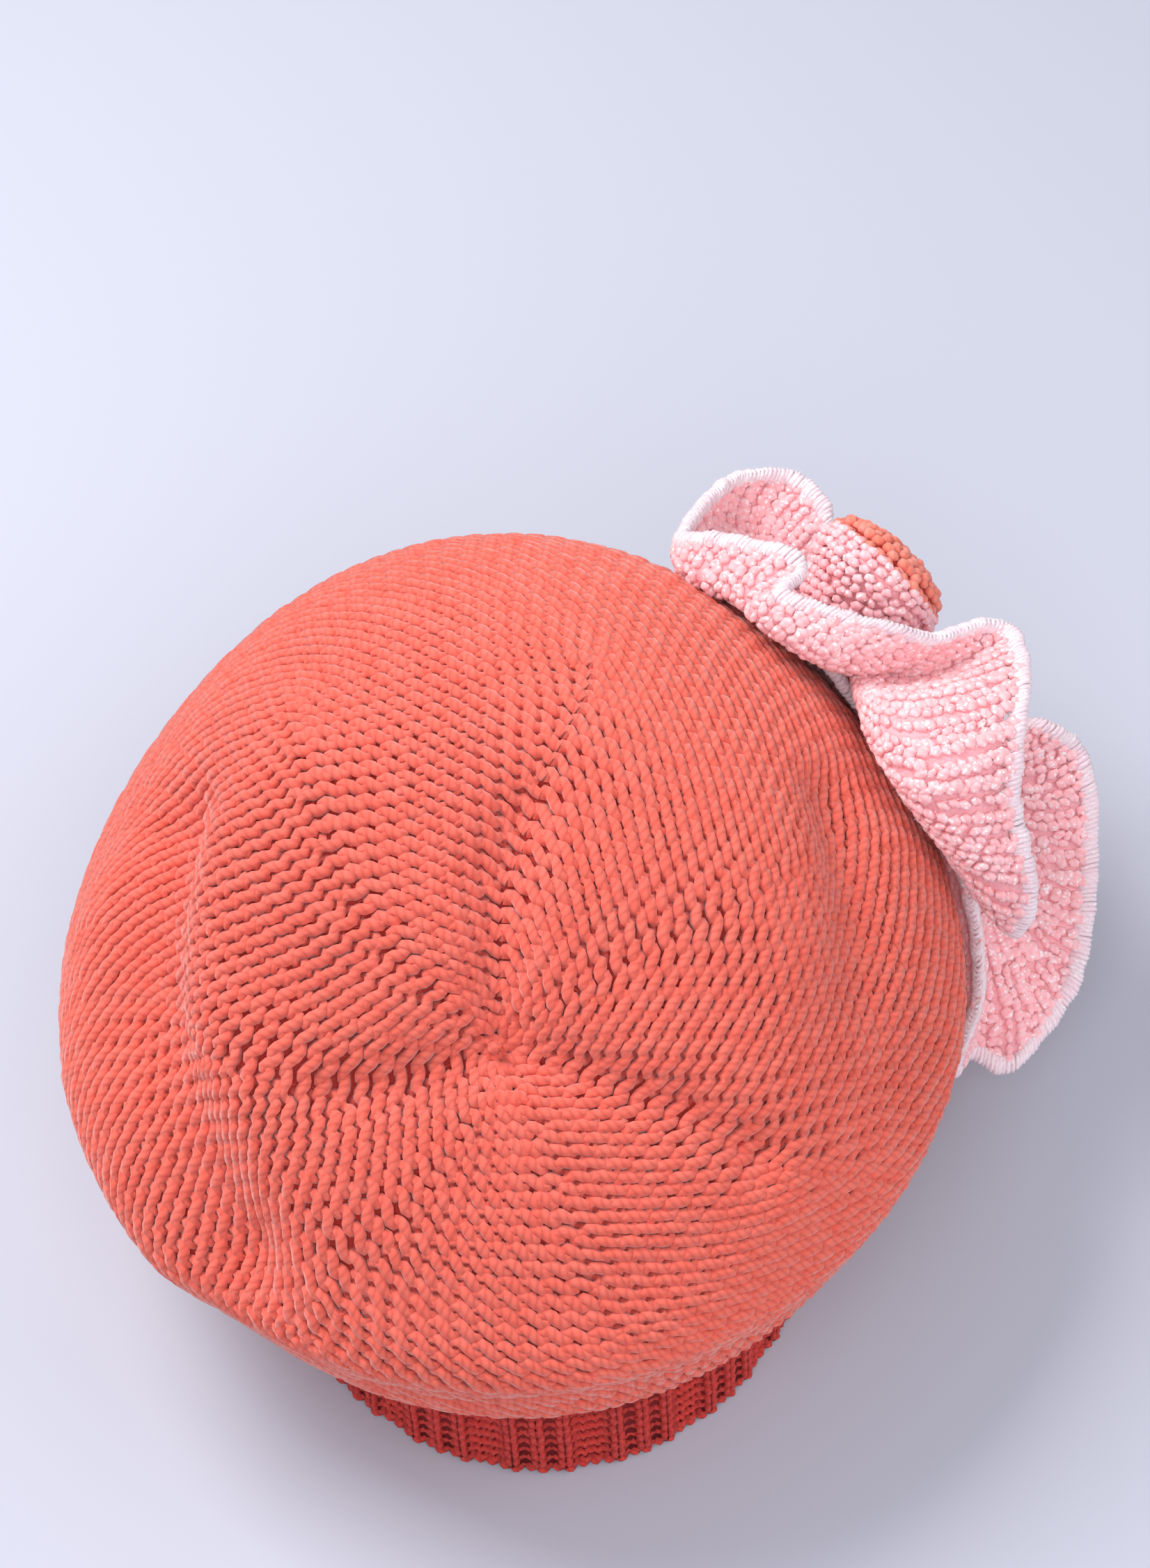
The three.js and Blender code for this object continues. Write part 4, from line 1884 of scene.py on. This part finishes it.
UPPER_RIM = np.array([
    Wave(8, 5, -58, -14, 0, -47, -30),
    Wave(22, 20, -51, -7, 22, -42, -38),
    Wave(38, 27, -37, 7, 32, -32, -34),
    Wave(50, 29, -30, 7, 36, -28, -32),
    Wave(68, 38, -26, 0, 42, -24, -28),
    Wave(88, 36, -5, 20, 42, -10, -26),
    Wave(98, 30, 4, 30, 32, 0, -18),
    Wave(108, 22, 7, 45, 17, 13, 2),
    Wave(118, 20, 14, 51, 26, 19, 2),
    Wave(130, 34, 27, 45, 60, 16, -18),
    Wave(144, 42, 41, 34, 70, 34, -28),
    Wave(156, 40, 55, 25, 64, 46, -24),
    Wave(166, 30, 78, 18, 44, 66, -14),
    Wave(174, 16, 85, 9, 20, 74, 0),
    Wave(184, 7, 60, 13, 14, 48, 10),
    Wave(196, 2, 36, 16, 10, 28, 12),
    Wave(214, -8, 20, 18, -2, 14, 13),
    Wave(238, -27, 11, 16, -24, 9, 12),
    Wave(260, -42, 0, 10, -36, 0, 6),
    Wave(284, -46, -16, 3, -40, -14, 0),
    Wave(302, -34, -26, 11, -30, -24, 4),
    Wave(318, -27, -42, 27, -30, -36, -2),
    Wave(332, -34, -59, 26, -34, -50, -8),
    Wave(348, -24, -67, 8, -22, -54, -14),
], float)
LOWER_RIM = np.array([
    Wave(0, -9, -34, -9, -8, -26, -6),
    Wave(40, 4, -30, -7, 2, -23, -5),
    Wave(80, 11, -14, -1, 6, -13, 0),
    Wave(112, 11, 4, 3, 6, 0, 3),
    Wave(138, 4, 26, 6.5, -3, 18, 6.5),
    Wave(156, 0, 58, 7.5, -8, 46, 8.5),
    Wave(168, -1, 92, -5, -9, 80, 10),
    Wave(175, -5, 111, -24, -11, 90, 14),
    Wave(181, -11, 110, -17, -14, 90, 12),
    Wave(187, -13, 119, -8, -15, 98, 12),
    Wave(196, -17, 106, 22, -17, 92, 11),
    Wave(204, -20, 73, 47, -18, 70, 10),
    Wave(213, -17, 51, 55, -15, 54, 8),
    Wave(224, -13, 36, 45, -13, 42, 4),
    Wave(240, -36, 32, 20, -34, 32, 4),
    Wave(256, -58, 30, 4, -52, 26, -10),
    Wave(272, -62, 4, -6, -54, 4, -14),
    Wave(292, -58, -20, -14, -50, -18, -16),
    Wave(318, -44, -36, -13, -36, -32, -14),
    Wave(340, -26, -38, -11, -22, -32, -8),
], float)


@dataclass(frozen=True)
class Stitcher:
    """Size of a crochet stitch and how unevenly it lies.

    Attributes:
        length: Half its length, as a share of the stitch pitch.
        width: Half its width, as a share of the room that it has.
        narrowest: Least half width, in millimetres.
        height: Half its height, in millimetres.
        slant: How far it leans along its row.
        stray_slant: How much that varies.
        shift: How far it strays, in millimetres.
        zigzag: How far pairs draw together, as a share of their room.
        stagger: How far pairs are offset across the row, as a share of the pitch.
        proud: How far its middle stands off the fabric, in millimetres.
        stray_proud: How much that varies.
    """

    length: float = 0.76
    width: float = 0.56
    narrowest: float = 1.3
    height: float = 1.35
    slant: float = 0.55
    stray_slant: float = 0.3
    shift: float = 0.28
    zigzag: float = 0.10
    stagger: float = 0.25
    proud: float = 0.75
    stray_proud: float = 0.12


@dataclass
class Frill:
    """One ruffled crochet ring with its white edging.

    Attributes:
        name: upper or lower.
        place: Frame of the tables.
        rim: Turn, rim and belly of each wave, in degrees and millimetres.
        hub_radius: Radius of the hub.
        hub_height: Height of the hub on the axis.
        spread: How far the ring stays flat around its hub.
        seed: Seed of what is uneven in it.
        inset: Width of the edging along the rim.
        stitch_pitch: Distance between stitches.
        wall: Thickness of the sheet under the stitches.
        seat: The flower's frame.
        stitcher: Size of a stitch.
    """

    name: str
    place: BeanieFrame
    rim: Array
    hub_radius: float
    hub_height: float
    spread: float
    seed: int
    inset: float = 4.3
    stitch_pitch: float = 3.2
    wall: float = 1.2
    seat: FlowerFrame = FlowerFrame()
    stitcher: Stitcher = Stitcher()

    RAYS = 432
    STEPS = 161
    WRAP = LoopShape(
        cosine=(0.0, 1.0, 0.0), sine=(0.0, 0.0, 1.4 * MM), radius=0.85 * MM, cuts=4, sides=4, wander=1.0 * MM
    )
    WRAP_PITCH = 1.3
    WRAP_HALF = 2.3
    WRAP_OVERHANG = 0.4
    WRAP_STEP = 12
    WRAP_SWELL = 0.12
    WRAP_SWELL_TURN = 0.37
    RIM_NAP = Nap(110.0, 2.4 * MM, 0.11 * MM)
    RIM_STEPS = (0, 4, 8)
    RIM_EVERY = 4
    FACE_NAP = Nap(22.0, 2.2 * MM)
    FACE_HEIGHT = 1.9
    FACE_STEPS = range(2, 140, 12)
    FACE_EVERY = 6
    WALL_STEPS = range(6, STEPS, 11)
    WALL_EVERY = 3
    INWARDS = 1.0
    LAST_ROOM = 1.5
    CROWDED = 0.72
    LARGEST_STRIDE = 8

    def __post_init__(self) -> None:
        """Works out the ring's middle surface."""
        self.stray = np.random.default_rng(self.seed)
        around = np.arange(self.RAYS) / self.RAYS
        shares = np.linspace(1.0, 0.0, self.STEPS)
        self.grid = self.ray(*np.meshgrid(around, shares, indexing="ij"))
        across = np.roll(self.grid, -1, axis=0) - np.roll(self.grid, 1, axis=0)
        self.normals = unit(np.cross(np.gradient(self.grid, axis=1), across))

    def ray(self, around: Array, share: Array) -> Array:
        """Middle surface of the ring.

        Args:
            around: Shares of the way round.
            share: 0 at the hub and 1 at the rim.

        Returns:
            Points of the flower's frame.
        """
        position = np.mod(around, 1.0) * len(self.rim)
        whole = np.floor(position).astype(int) % len(self.rim)
        turns = np.append(self.rim[:, 0], self.rim[0, 0] + 360.0)
        turn = np.radians(turns[whole] + (turns[whole + 1] - turns[whole]) * (position - np.floor(position)))
        edge = catmull_rom(self.rim[:, 1:4], position, True)
        belly = catmull_rom(self.rim[:, 4:7], position, True)
        hub = self.seat.on_axis(self.hub_radius, turn, self.hub_height)
        spread = self.seat.on_axis(self.spread, turn, self.hub_height)
        part = share[..., None]
        rest = 1.0 - part
        return rest**3 * hub + 3 * rest**2 * part * spread + 3 * rest * part**2 * belly + part**3 * edge

    def build(
        self,
        looper: YarnLooper,
        placer: StitchPlacer,
        napper: NapMaker,
        finishes: Mapping[str, bpy.types.Material],
    ) -> dict[str, list[bpy.types.Object]]:
        """Makes the ring.

        Args:
            looper: Maker of the edging yarn.
            placer: Maker of the stitches.
            napper: Maker of loose fibres.
            finishes: Materials by name.

        Returns:
            The ring's pieces, by the CAD node that they stand for.
        """
        petals = f"flower_frill_{self.name}"
        edging = f"flower_edging_{self.name}"
        stitches = placer.make(self._stitches(), f"{petals}_stitches", finishes["frill"], self.seed)
        wall = self._layers(self.WALL_STEPS, self.WALL_EVERY, self.wall / 2)
        sheet = ring_chain(f"{petals}_ground", wall)
        # The sheet under the stitches is darker as painted shade.
        ground = mesh_object(f"{petals}_ground", sheet, finishes["frill_ground"])
        trim = looper.make(self._wraps(), f"{edging}_yarn", self.WRAP, finishes["edging"])
        rings = [self._to_part(self.grid[::self.RIM_EVERY, step]) for step in self.RIM_STEPS]
        rim = mesh_strip(f"{edging}_strip", rings)
        loose = napper.make(rim, f"{edging}_loose_fibres", self.RIM_NAP, finishes["edging"])
        layers = self._layers(self.FACE_STEPS, self.FACE_EVERY, self.FACE_HEIGHT)
        faces = mesh_strip(f"{petals}_strip", layers)
        fluff = napper.make(faces, f"{petals}_loose_fibres", self.FACE_NAP, finishes["frill"])
        return {petals: [stitches, ground, fluff], edging: [trim, loose]}

    def _layers(self, steps: Sequence[int], every: int, height: float) -> list[Array]:
        """Rings along one face of the ring and back along the other.

        Args:
            steps: Steps from the rim inwards.
            every: Rays from one point of a ring to the next.
            height: Height off the middle surface.

        Returns:
            The rings.
        """
        upper, lower = (
            [self._to_part(self.grid[::every, step] + self.normals[::every, step] * side) for step in steps]
            for side in (height, -height)
        )
        return [*upper, *lower[::-1]]

    def _to_part(self, local: Array) -> Array:
        """Points of the flower's frame in the part's frame."""
        return self.place.place(self.seat.place(local))

    def _turned(self, local: Array) -> Array:
        """Directions of the flower's frame in the part's frame."""
        return self.seat.place(local) - self.seat.place(np.zeros(3))

    def _stitches(self) -> Strands:
        """Sets out stitches on both faces, in rows that run from the hub to the rim.

        Returns:
            The stitches.
        """
        steps = np.linalg.norm(np.diff(self.grid, axis=1), axis=-1)
        depth = np.concatenate([np.zeros((self.RAYS, 1)), np.cumsum(steps, axis=1)], axis=1)
        around = np.linalg.norm(np.roll(self.grid[:, 0], -1, axis=0) - self.grid[:, 0], axis=-1)
        length = np.concatenate([[0.0], np.cumsum(around)])
        count = int(length[-1] / self.stitch_pitch) // self.LARGEST_STRIDE * self.LARGEST_STRIDE
        rays = np.interp(np.arange(count) / count * length[-1], length, np.arange(self.RAYS + 1))
        whole = np.floor(rays).astype(int) % self.RAYS
        strands = Strands()
        for level in range(int(depth.max() / self.stitch_pitch)):
            far = self.inset + self.stitch_pitch * level
            spots = self._at_depth(self.grid, depth, whole, far)
            faces = self._at_depth(self.normals, depth, whole, far)
            inner = self._at_depth(self.grid, depth, whole, far + self.INWARDS)
            width = np.linalg.norm(np.roll(spots, -1, axis=0) - spots, axis=-1)
            for number in range(count):
                if depth[whole[number], -1] < far + self.LAST_ROOM:
                    continue
                stride = self._stride(width[number])
                if number % stride == 0:
                    self._add_pair(strands, spots, faces, inner, number, stride, width[number] * stride)
        return strands

    def _stride(self, width: float) -> int:
        """Works out how many places one stitch takes up where they crowd.

        Args:
            width: Width of one place.

        Returns:
            The number of places.
        """
        stride = 1
        while width * stride < self.stitch_pitch * self.CROWDED and stride < self.LARGEST_STRIDE:
            stride *= 2
        return stride

    @staticmethod
    def _at_depth(grid: Array, depth: Array, rays: Array, far: float) -> Array:
        """Values of a grid at a distance from the rim.

        Args:
            grid: Values by ray and step.
            depth: Distance from the rim by ray and step.
            rays: Rays to read.
            far: The distance.

        Returns:
            One value for each ray.
        """
        return np.array([
            [np.interp(far, depth[ray], grid[ray, :, axis]) for axis in range(3)] for ray in rays
        ])

    def _add_pair(
        self,
        strands: Strands,
        spots: Array,
        faces: Array,
        inner: Array,
        number: int,
        stride: int,
        width: float,
    ) -> None:
        """Adds the stitch of one place on both faces.

        Args:
            strands: Where the stitches go.
            spots: Places of one row.
            faces: Normals at them.
            inner: Places a little further in.
            number: Number of the place.
            stride: Places that the stitch takes up.
            width: Room that it has.
        """
        kind = self.stitcher
        ahead = unit(spots[(number + stride) % len(spots)] - spots[number])
        down = unit(inner[number] - spots[number])
        facing = unit(faces[number])
        lean = 1.0 if (number // stride) % 2 else -1.0
        half_wide = max(kind.narrowest, width * kind.width)
        size = np.array([self.stitch_pitch * kind.length, half_wide, kind.height])
        for sign in (1.0, -1.0):
            stray = self.stray.normal(0.0, 1.0, 4)
            lie = unit(down + ahead * (lean * sign * kind.slant + stray[0] * kind.stray_slant))
            aside = ahead * (stray[1] * kind.shift - lean * kind.zigzag * width)
            along = down * (kind.stagger * self.stitch_pitch * lean + stray[2] * kind.shift)
            proud = facing * sign * (kind.proud + kind.stray_proud * stray[3])
            strands.add(
                self._to_part(spots[number] + aside + along + proud)[None],
                facing=self._turned(facing * sign)[None],
                lie=self._turned(lie)[None],
                size=(size * MM)[None],
            )

    def _wraps(self) -> Strands:
        """Makes the course of the edging yarn, which is wound over the rim.

        Returns:
            The course.
        """
        rim = np.concatenate([self.grid[:, 0], self.grid[:1, 0]])
        inner = np.concatenate([self.grid[:, self.WRAP_STEP], self.grid[:1, self.WRAP_STEP]])
        facing = np.concatenate([self.normals[:, 1], self.normals[:1, 1]])
        lengths = np.concatenate([[0.0], np.cumsum(np.linalg.norm(np.diff(rim, axis=0), axis=-1))])
        count = round(lengths[-1] / self.WRAP_PITCH) * 2 + 1
        at = np.linspace(0.0, lengths[-1], count)

        def spread(values: Array) -> Array:
            """Reads values at even steps along the rim."""
            return np.stack([np.interp(at, lengths, values[:, axis]) for axis in range(3)], axis=-1)

        down = unit(spread(inner - rim))
        strands = Strands()
        strands.add(
            self._to_part(spread(rim) + down * (self.WRAP_HALF - self.WRAP_OVERHANG)),
            course=np.zeros((count, 3)),
            wale=self._turned(-down) * self.WRAP_HALF * MM,
            outward=self._turned(unit(spread(facing))),
            stitch=np.arange(count) / 2.0,
            side=np.ones(count),
            thickness=1.0 + self.WRAP_SWELL * np.sin(np.arange(count) * self.WRAP_SWELL_TURN),
        )
        return strands


@dataclass
class Bud:
    """The pink bud of crochet rounds and the coral heart that caps it.

    Attributes:
        place: Frame of the tables.
        seat: The flower's frame.
        bud_profile: Radius and height of the bud's outline, in millimetres.
        heart_profile: Radius and height of the heart's outline, in millimetres.
        stitch_pitch: Distance between stitches.
        stitch_size: Half the length, width and height of a stitch.
    """

    place: BeanieFrame
    seat: FlowerFrame = FlowerFrame()
    bud_profile: tuple[tuple[float, float], ...] = (
        (0, 11), (11, 11), (14, 15), (17.5, 21), (21, 27), (20, 30), (18, 31.4), (0, 32),
    )
    heart_profile: tuple[tuple[float, float], ...] = (
        (0, 32.6), (18.2, 32), (18.4, 33.6), (14.5, 36.6), (8, 38.4), (0, 39),
    )
    stitch_pitch: float = 3.1
    stitch_size: Triple = (2.15, 1.6, 1.5)

    SEED = 3
    RING_POINTS = 48
    PROFILE_STEP = 0.5
    TURN_STEP = 0.05
    TIP_RADIUS = 0.1
    GROUND_INSET = 0.6
    ROUND_PITCH = 0.92
    SLANT = (0.45, 0.4)
    SHIFT = 0.35
    PROUD = (0.35, 0.18)

    def build(
        self, placer: StitchPlacer, finishes: Mapping[str, bpy.types.Material]
    ) -> dict[str, list[bpy.types.Object]]:
        """Makes the bud and the heart.

        Args:
            placer: Maker of the stitches.
            finishes: Materials by name.

        Returns:
            Their pieces, by the CAD node that they stand for.
        """
        made = {}
        self.stray = np.random.default_rng(self.SEED)
        for node, profile, finish_name, seed in (
            ("flower_bud", self.bud_profile, "frill", 5),
            ("flower_heart", self.heart_profile, "heart", 6),
        ):
            stitches = placer.make(self._stitches(profile), f"{node}_stitches", finishes[finish_name], seed)
            rings = [self._ring(max(radius - self.GROUND_INSET, 0.0), height) for radius, height in profile]
            sheet = ring_chain(f"{node}_ground", rings)
            # The sheet under the stitches is darker as painted shade.
            ground = mesh_object(f"{node}_ground", sheet, finishes[finish_name + "_ground"])
            made[node] = [stitches, ground]
        return made

    def _ring(self, radius: float, height: float) -> Array:
        """Ring of points about the axis, or one point on it."""
        turns = np.arange(self.RING_POINTS) / self.RING_POINTS * math.tau if radius > 0 else np.zeros(1)
        return self.place.place(self.seat.place(self.seat.on_axis(radius, turns, height)))

    def _stitches(self, profile: Sequence[tuple[float, float]]) -> Strands:
        """Sets out stitches in rounds along a profile.

        Args:
            profile: Radius and height of each corner, of which the first is inside.

        Returns:
            The stitches, from the outer corner to the tip.
        """
        corners = np.array(profile, float)
        steps = np.linalg.norm(np.diff(corners, axis=0), axis=-1)
        lengths = np.concatenate([[0.0], np.cumsum(steps)])
        strands = Strands()
        rounds = np.arange(lengths[1], lengths[-1], self.stitch_pitch * self.ROUND_PITCH)
        for number, far in enumerate(rounds):
            here, ahead, behind = (
                np.array([np.interp(far + step, lengths, corners[:, axis]) for axis in range(2)])
                for step in (0.0, self.PROFILE_STEP, -self.PROFILE_STEP)
            )
            climb = unit(ahead - behind)
            count = max(1, round(math.tau * here[0] / self.stitch_pitch))
            for i in range(count):
                self._add(strands, here, climb, (i + 0.5 * (number % 2)) / count * math.tau)
        return strands

    def _add(self, strands: Strands, spot: Array, climb: Array, turn: float) -> None:
        """Adds one stitch on the turned surface.

        Args:
            strands: Where the stitch goes.
            spot: Its radius and height.
            climb: Direction of the profile there.
            turn: Its angle round the axis.
        """
        radius, height = spot
        base, beyond, up, aside = (
            self.seat.place(self.seat.on_axis(*corner))
            for corner in (
                (radius, turn, height),
                (radius + climb[1], turn, height - climb[0]),
                (radius + climb[0], turn, height + climb[1]),
                (radius, turn + self.TURN_STEP, height),
            )
        )
        facing = unit(beyond - base)
        along = unit(aside - base) if radius > self.TIP_RADIUS else unit(up - base)
        stray = self.stray.normal(0.0, 1.0, 4)
        climb_up = unit(up - base)
        lie = unit(along + climb_up * (self.SLANT[0] + self.SLANT[1] * stray[0]))
        shift = along * (self.SHIFT * stray[1]) + climb_up * (self.SHIFT * stray[2])
        proud = facing * (self.PROUD[0] + self.PROUD[1] * stray[3])
        strands.add(
            self.place.place(base + shift + proud)[None],
            facing=facing[None],
            lie=lie[None],
            size=(np.array(self.stitch_size) * MM)[None],
        )


# ---------------------------------------------------------------------------- studio
@dataclass(frozen=True)
class Studio:
    """Camera, lights and floor, in millimetres from the band's centre.

    Attributes:
        place: Frame of the tables.
        camera_at: Where the camera stands.
        aim: What it looks at.
        up: Its upward direction.
        lens: Its focal length.
        floor: Colour of the floor, linear.
        reach: Half the size of the floor, in metres.
        lights: Name, place, size in metres, power in watts and colour of each light.
    """

    place: BeanieFrame
    camera_at: Triple = (0.0, 755.0, 1179.0)
    aim: Triple = (-18.7, -65.7, 104.3)
    up: Triple = (-0.0872, -0.8259, 0.5571)
    lens: float = 112.0
    floor: Colour = (0.53, 0.55, 0.64)
    reach: float = 6.0
    lights: tuple[tuple[str, Triple, float, float, Colour], ...] = (
        ("key", (560.0, -420.0, 1000.0), 0.6, 13.2, (1.0, 0.985, 0.97)),
        ("fill", (50.0, 1000.0, 1100.0), 1.0, 9.2, (0.98, 0.98, 1.0)),
        ("side", (-1000.0, 250.0, 700.0), 0.8, 4.0, (1.0, 0.99, 0.99)),
    )

    LIT_POINT = (0.0, 0.0, 80.0)
    SKY = (0.90, 0.93, 1.0)
    SKY_STRENGTH = 0.42

    def build(self) -> None:
        """Makes the camera, the lights and the floor."""
        self._camera()
        self._floor()
        self._world()
        for light in self.lights:
            self._area(*light)

    def _camera(self) -> None:
        """Places the camera behind and above the hat."""
        camera = bpy.data.objects.new("camera", bpy.data.cameras.new("camera"))
        bpy.context.scene.collection.objects.link(camera)
        camera.data.lens = self.lens
        spot = Vector(self.place.place(np.array(self.camera_at)))
        back = (spot - Vector(self.place.place(np.array(self.aim)))).normalized()
        right = Vector(self.up).cross(back).normalized()
        turn = Matrix((right, back.cross(right), back)).transposed()
        camera.matrix_world = Matrix.Translation(spot) @ turn.to_4x4()
        bpy.context.scene.camera = camera

    def _area(self, name: str, spot: Triple, size: float, power: float, colour: Colour) -> None:
        """Adds a soft light that faces the hat.

        Args:
            name: Name of the light.
            spot: Where it stands.
            size: Its size in metres.
            power: Its power in watts.
            colour: Its colour, linear.
        """
        data = bpy.data.lights.new(name, "AREA")
        data.size = size
        data.energy = power
        data.color = colour
        light = bpy.data.objects.new(name, data)
        bpy.context.scene.collection.objects.link(light)
        light.location = Vector(self.place.place(np.array(spot)))
        aim = Vector(self.place.place(np.array(self.LIT_POINT)))
        light.rotation_euler = (light.location - aim).to_track_quat("Z", "Y").to_euler()

    def _floor(self) -> None:
        """Adds a wide pale floor."""
        mesh = bpy.data.meshes.new("floor")
        reach = self.reach
        corners = [(-reach, -reach, 0), (reach, -reach, 0), (reach, reach, 0), (-reach, reach, 0)]
        mesh.from_pydata(corners, [], [(0, 1, 2, 3)])
        material = new_material("floor")
        base = {"Base Color": _rgba(self.floor), "Roughness": 0.9, "Specular IOR Level": 0.1}
        finish(Graph(material.node_tree), base)
        mesh_object("floor", mesh, material)

    def _world(self) -> None:
        """Sets an even pale sky."""
        world = bpy.data.worlds.new("studio")
        bpy.context.scene.world = world
        world.use_nodes = True
        background = world.node_tree.nodes["Background"]
        background.inputs["Color"].default_value = _rgba(self.SKY)
        background.inputs["Strength"].default_value = self.SKY_STRENGTH
        bpy.context.scene.view_settings.view_transform = "Standard"


# ---------------------------------------------------------------------------- assembly
def attach(pieces: Iterable[bpy.types.Object], nodes: Sequence[str]) -> None:
    """Ties pieces to the frame.

    Args:
        pieces: Pieces that stand for the nodes.
        nodes: CAD nodes that they replace.
    """
    for piece in pieces:
        triangles = sum(len(polygon.vertices) - 2 for polygon in piece.data.polygons)
        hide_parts(*nodes)
        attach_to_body(piece, BODY)
        log.info("%s: %d triangles", piece.name, triangles)


def main() -> None:
    """Builds the hat and the studio in order."""
    place = BeanieFrame()
    Studio(place).build()
    looper = YarnLooper()
    placer = StitchPlacer()
    napper = NapMaker()
    attach(SlouchBag(place, looper, napper).build(), ["slouch_bag"])
    attach(RibBand(place, looper).build(), ["rib_band"])
    # The ground materials are painted shade between the stitches.
    finishes = {
        "frill": FRILL_YARN.material(),
        "frill_ground": FRILL_GROUND_SHADE.material(),
        "edging": EDGING_YARN.material(),
        "heart": HEART_YARN.material(),
        "heart_ground": BAG_GROUND_SHADE.material(),
    }
    lower = Frill("lower", place, LOWER_RIM, hub_radius=4.0, hub_height=4.4, spread=12.0, seed=3)
    upper = Frill("upper", place, UPPER_RIM, hub_radius=7.0, hub_height=9.0, spread=24.0, seed=4)
    for frill in (lower, upper):
        for node, pieces in frill.build(looper, placer, napper, finishes).items():
            attach(pieces, [node])
    for node, pieces in Bud(place).build(placer, finishes).items():
        attach(pieces, [node])


if __name__ == "__main__":
    main()
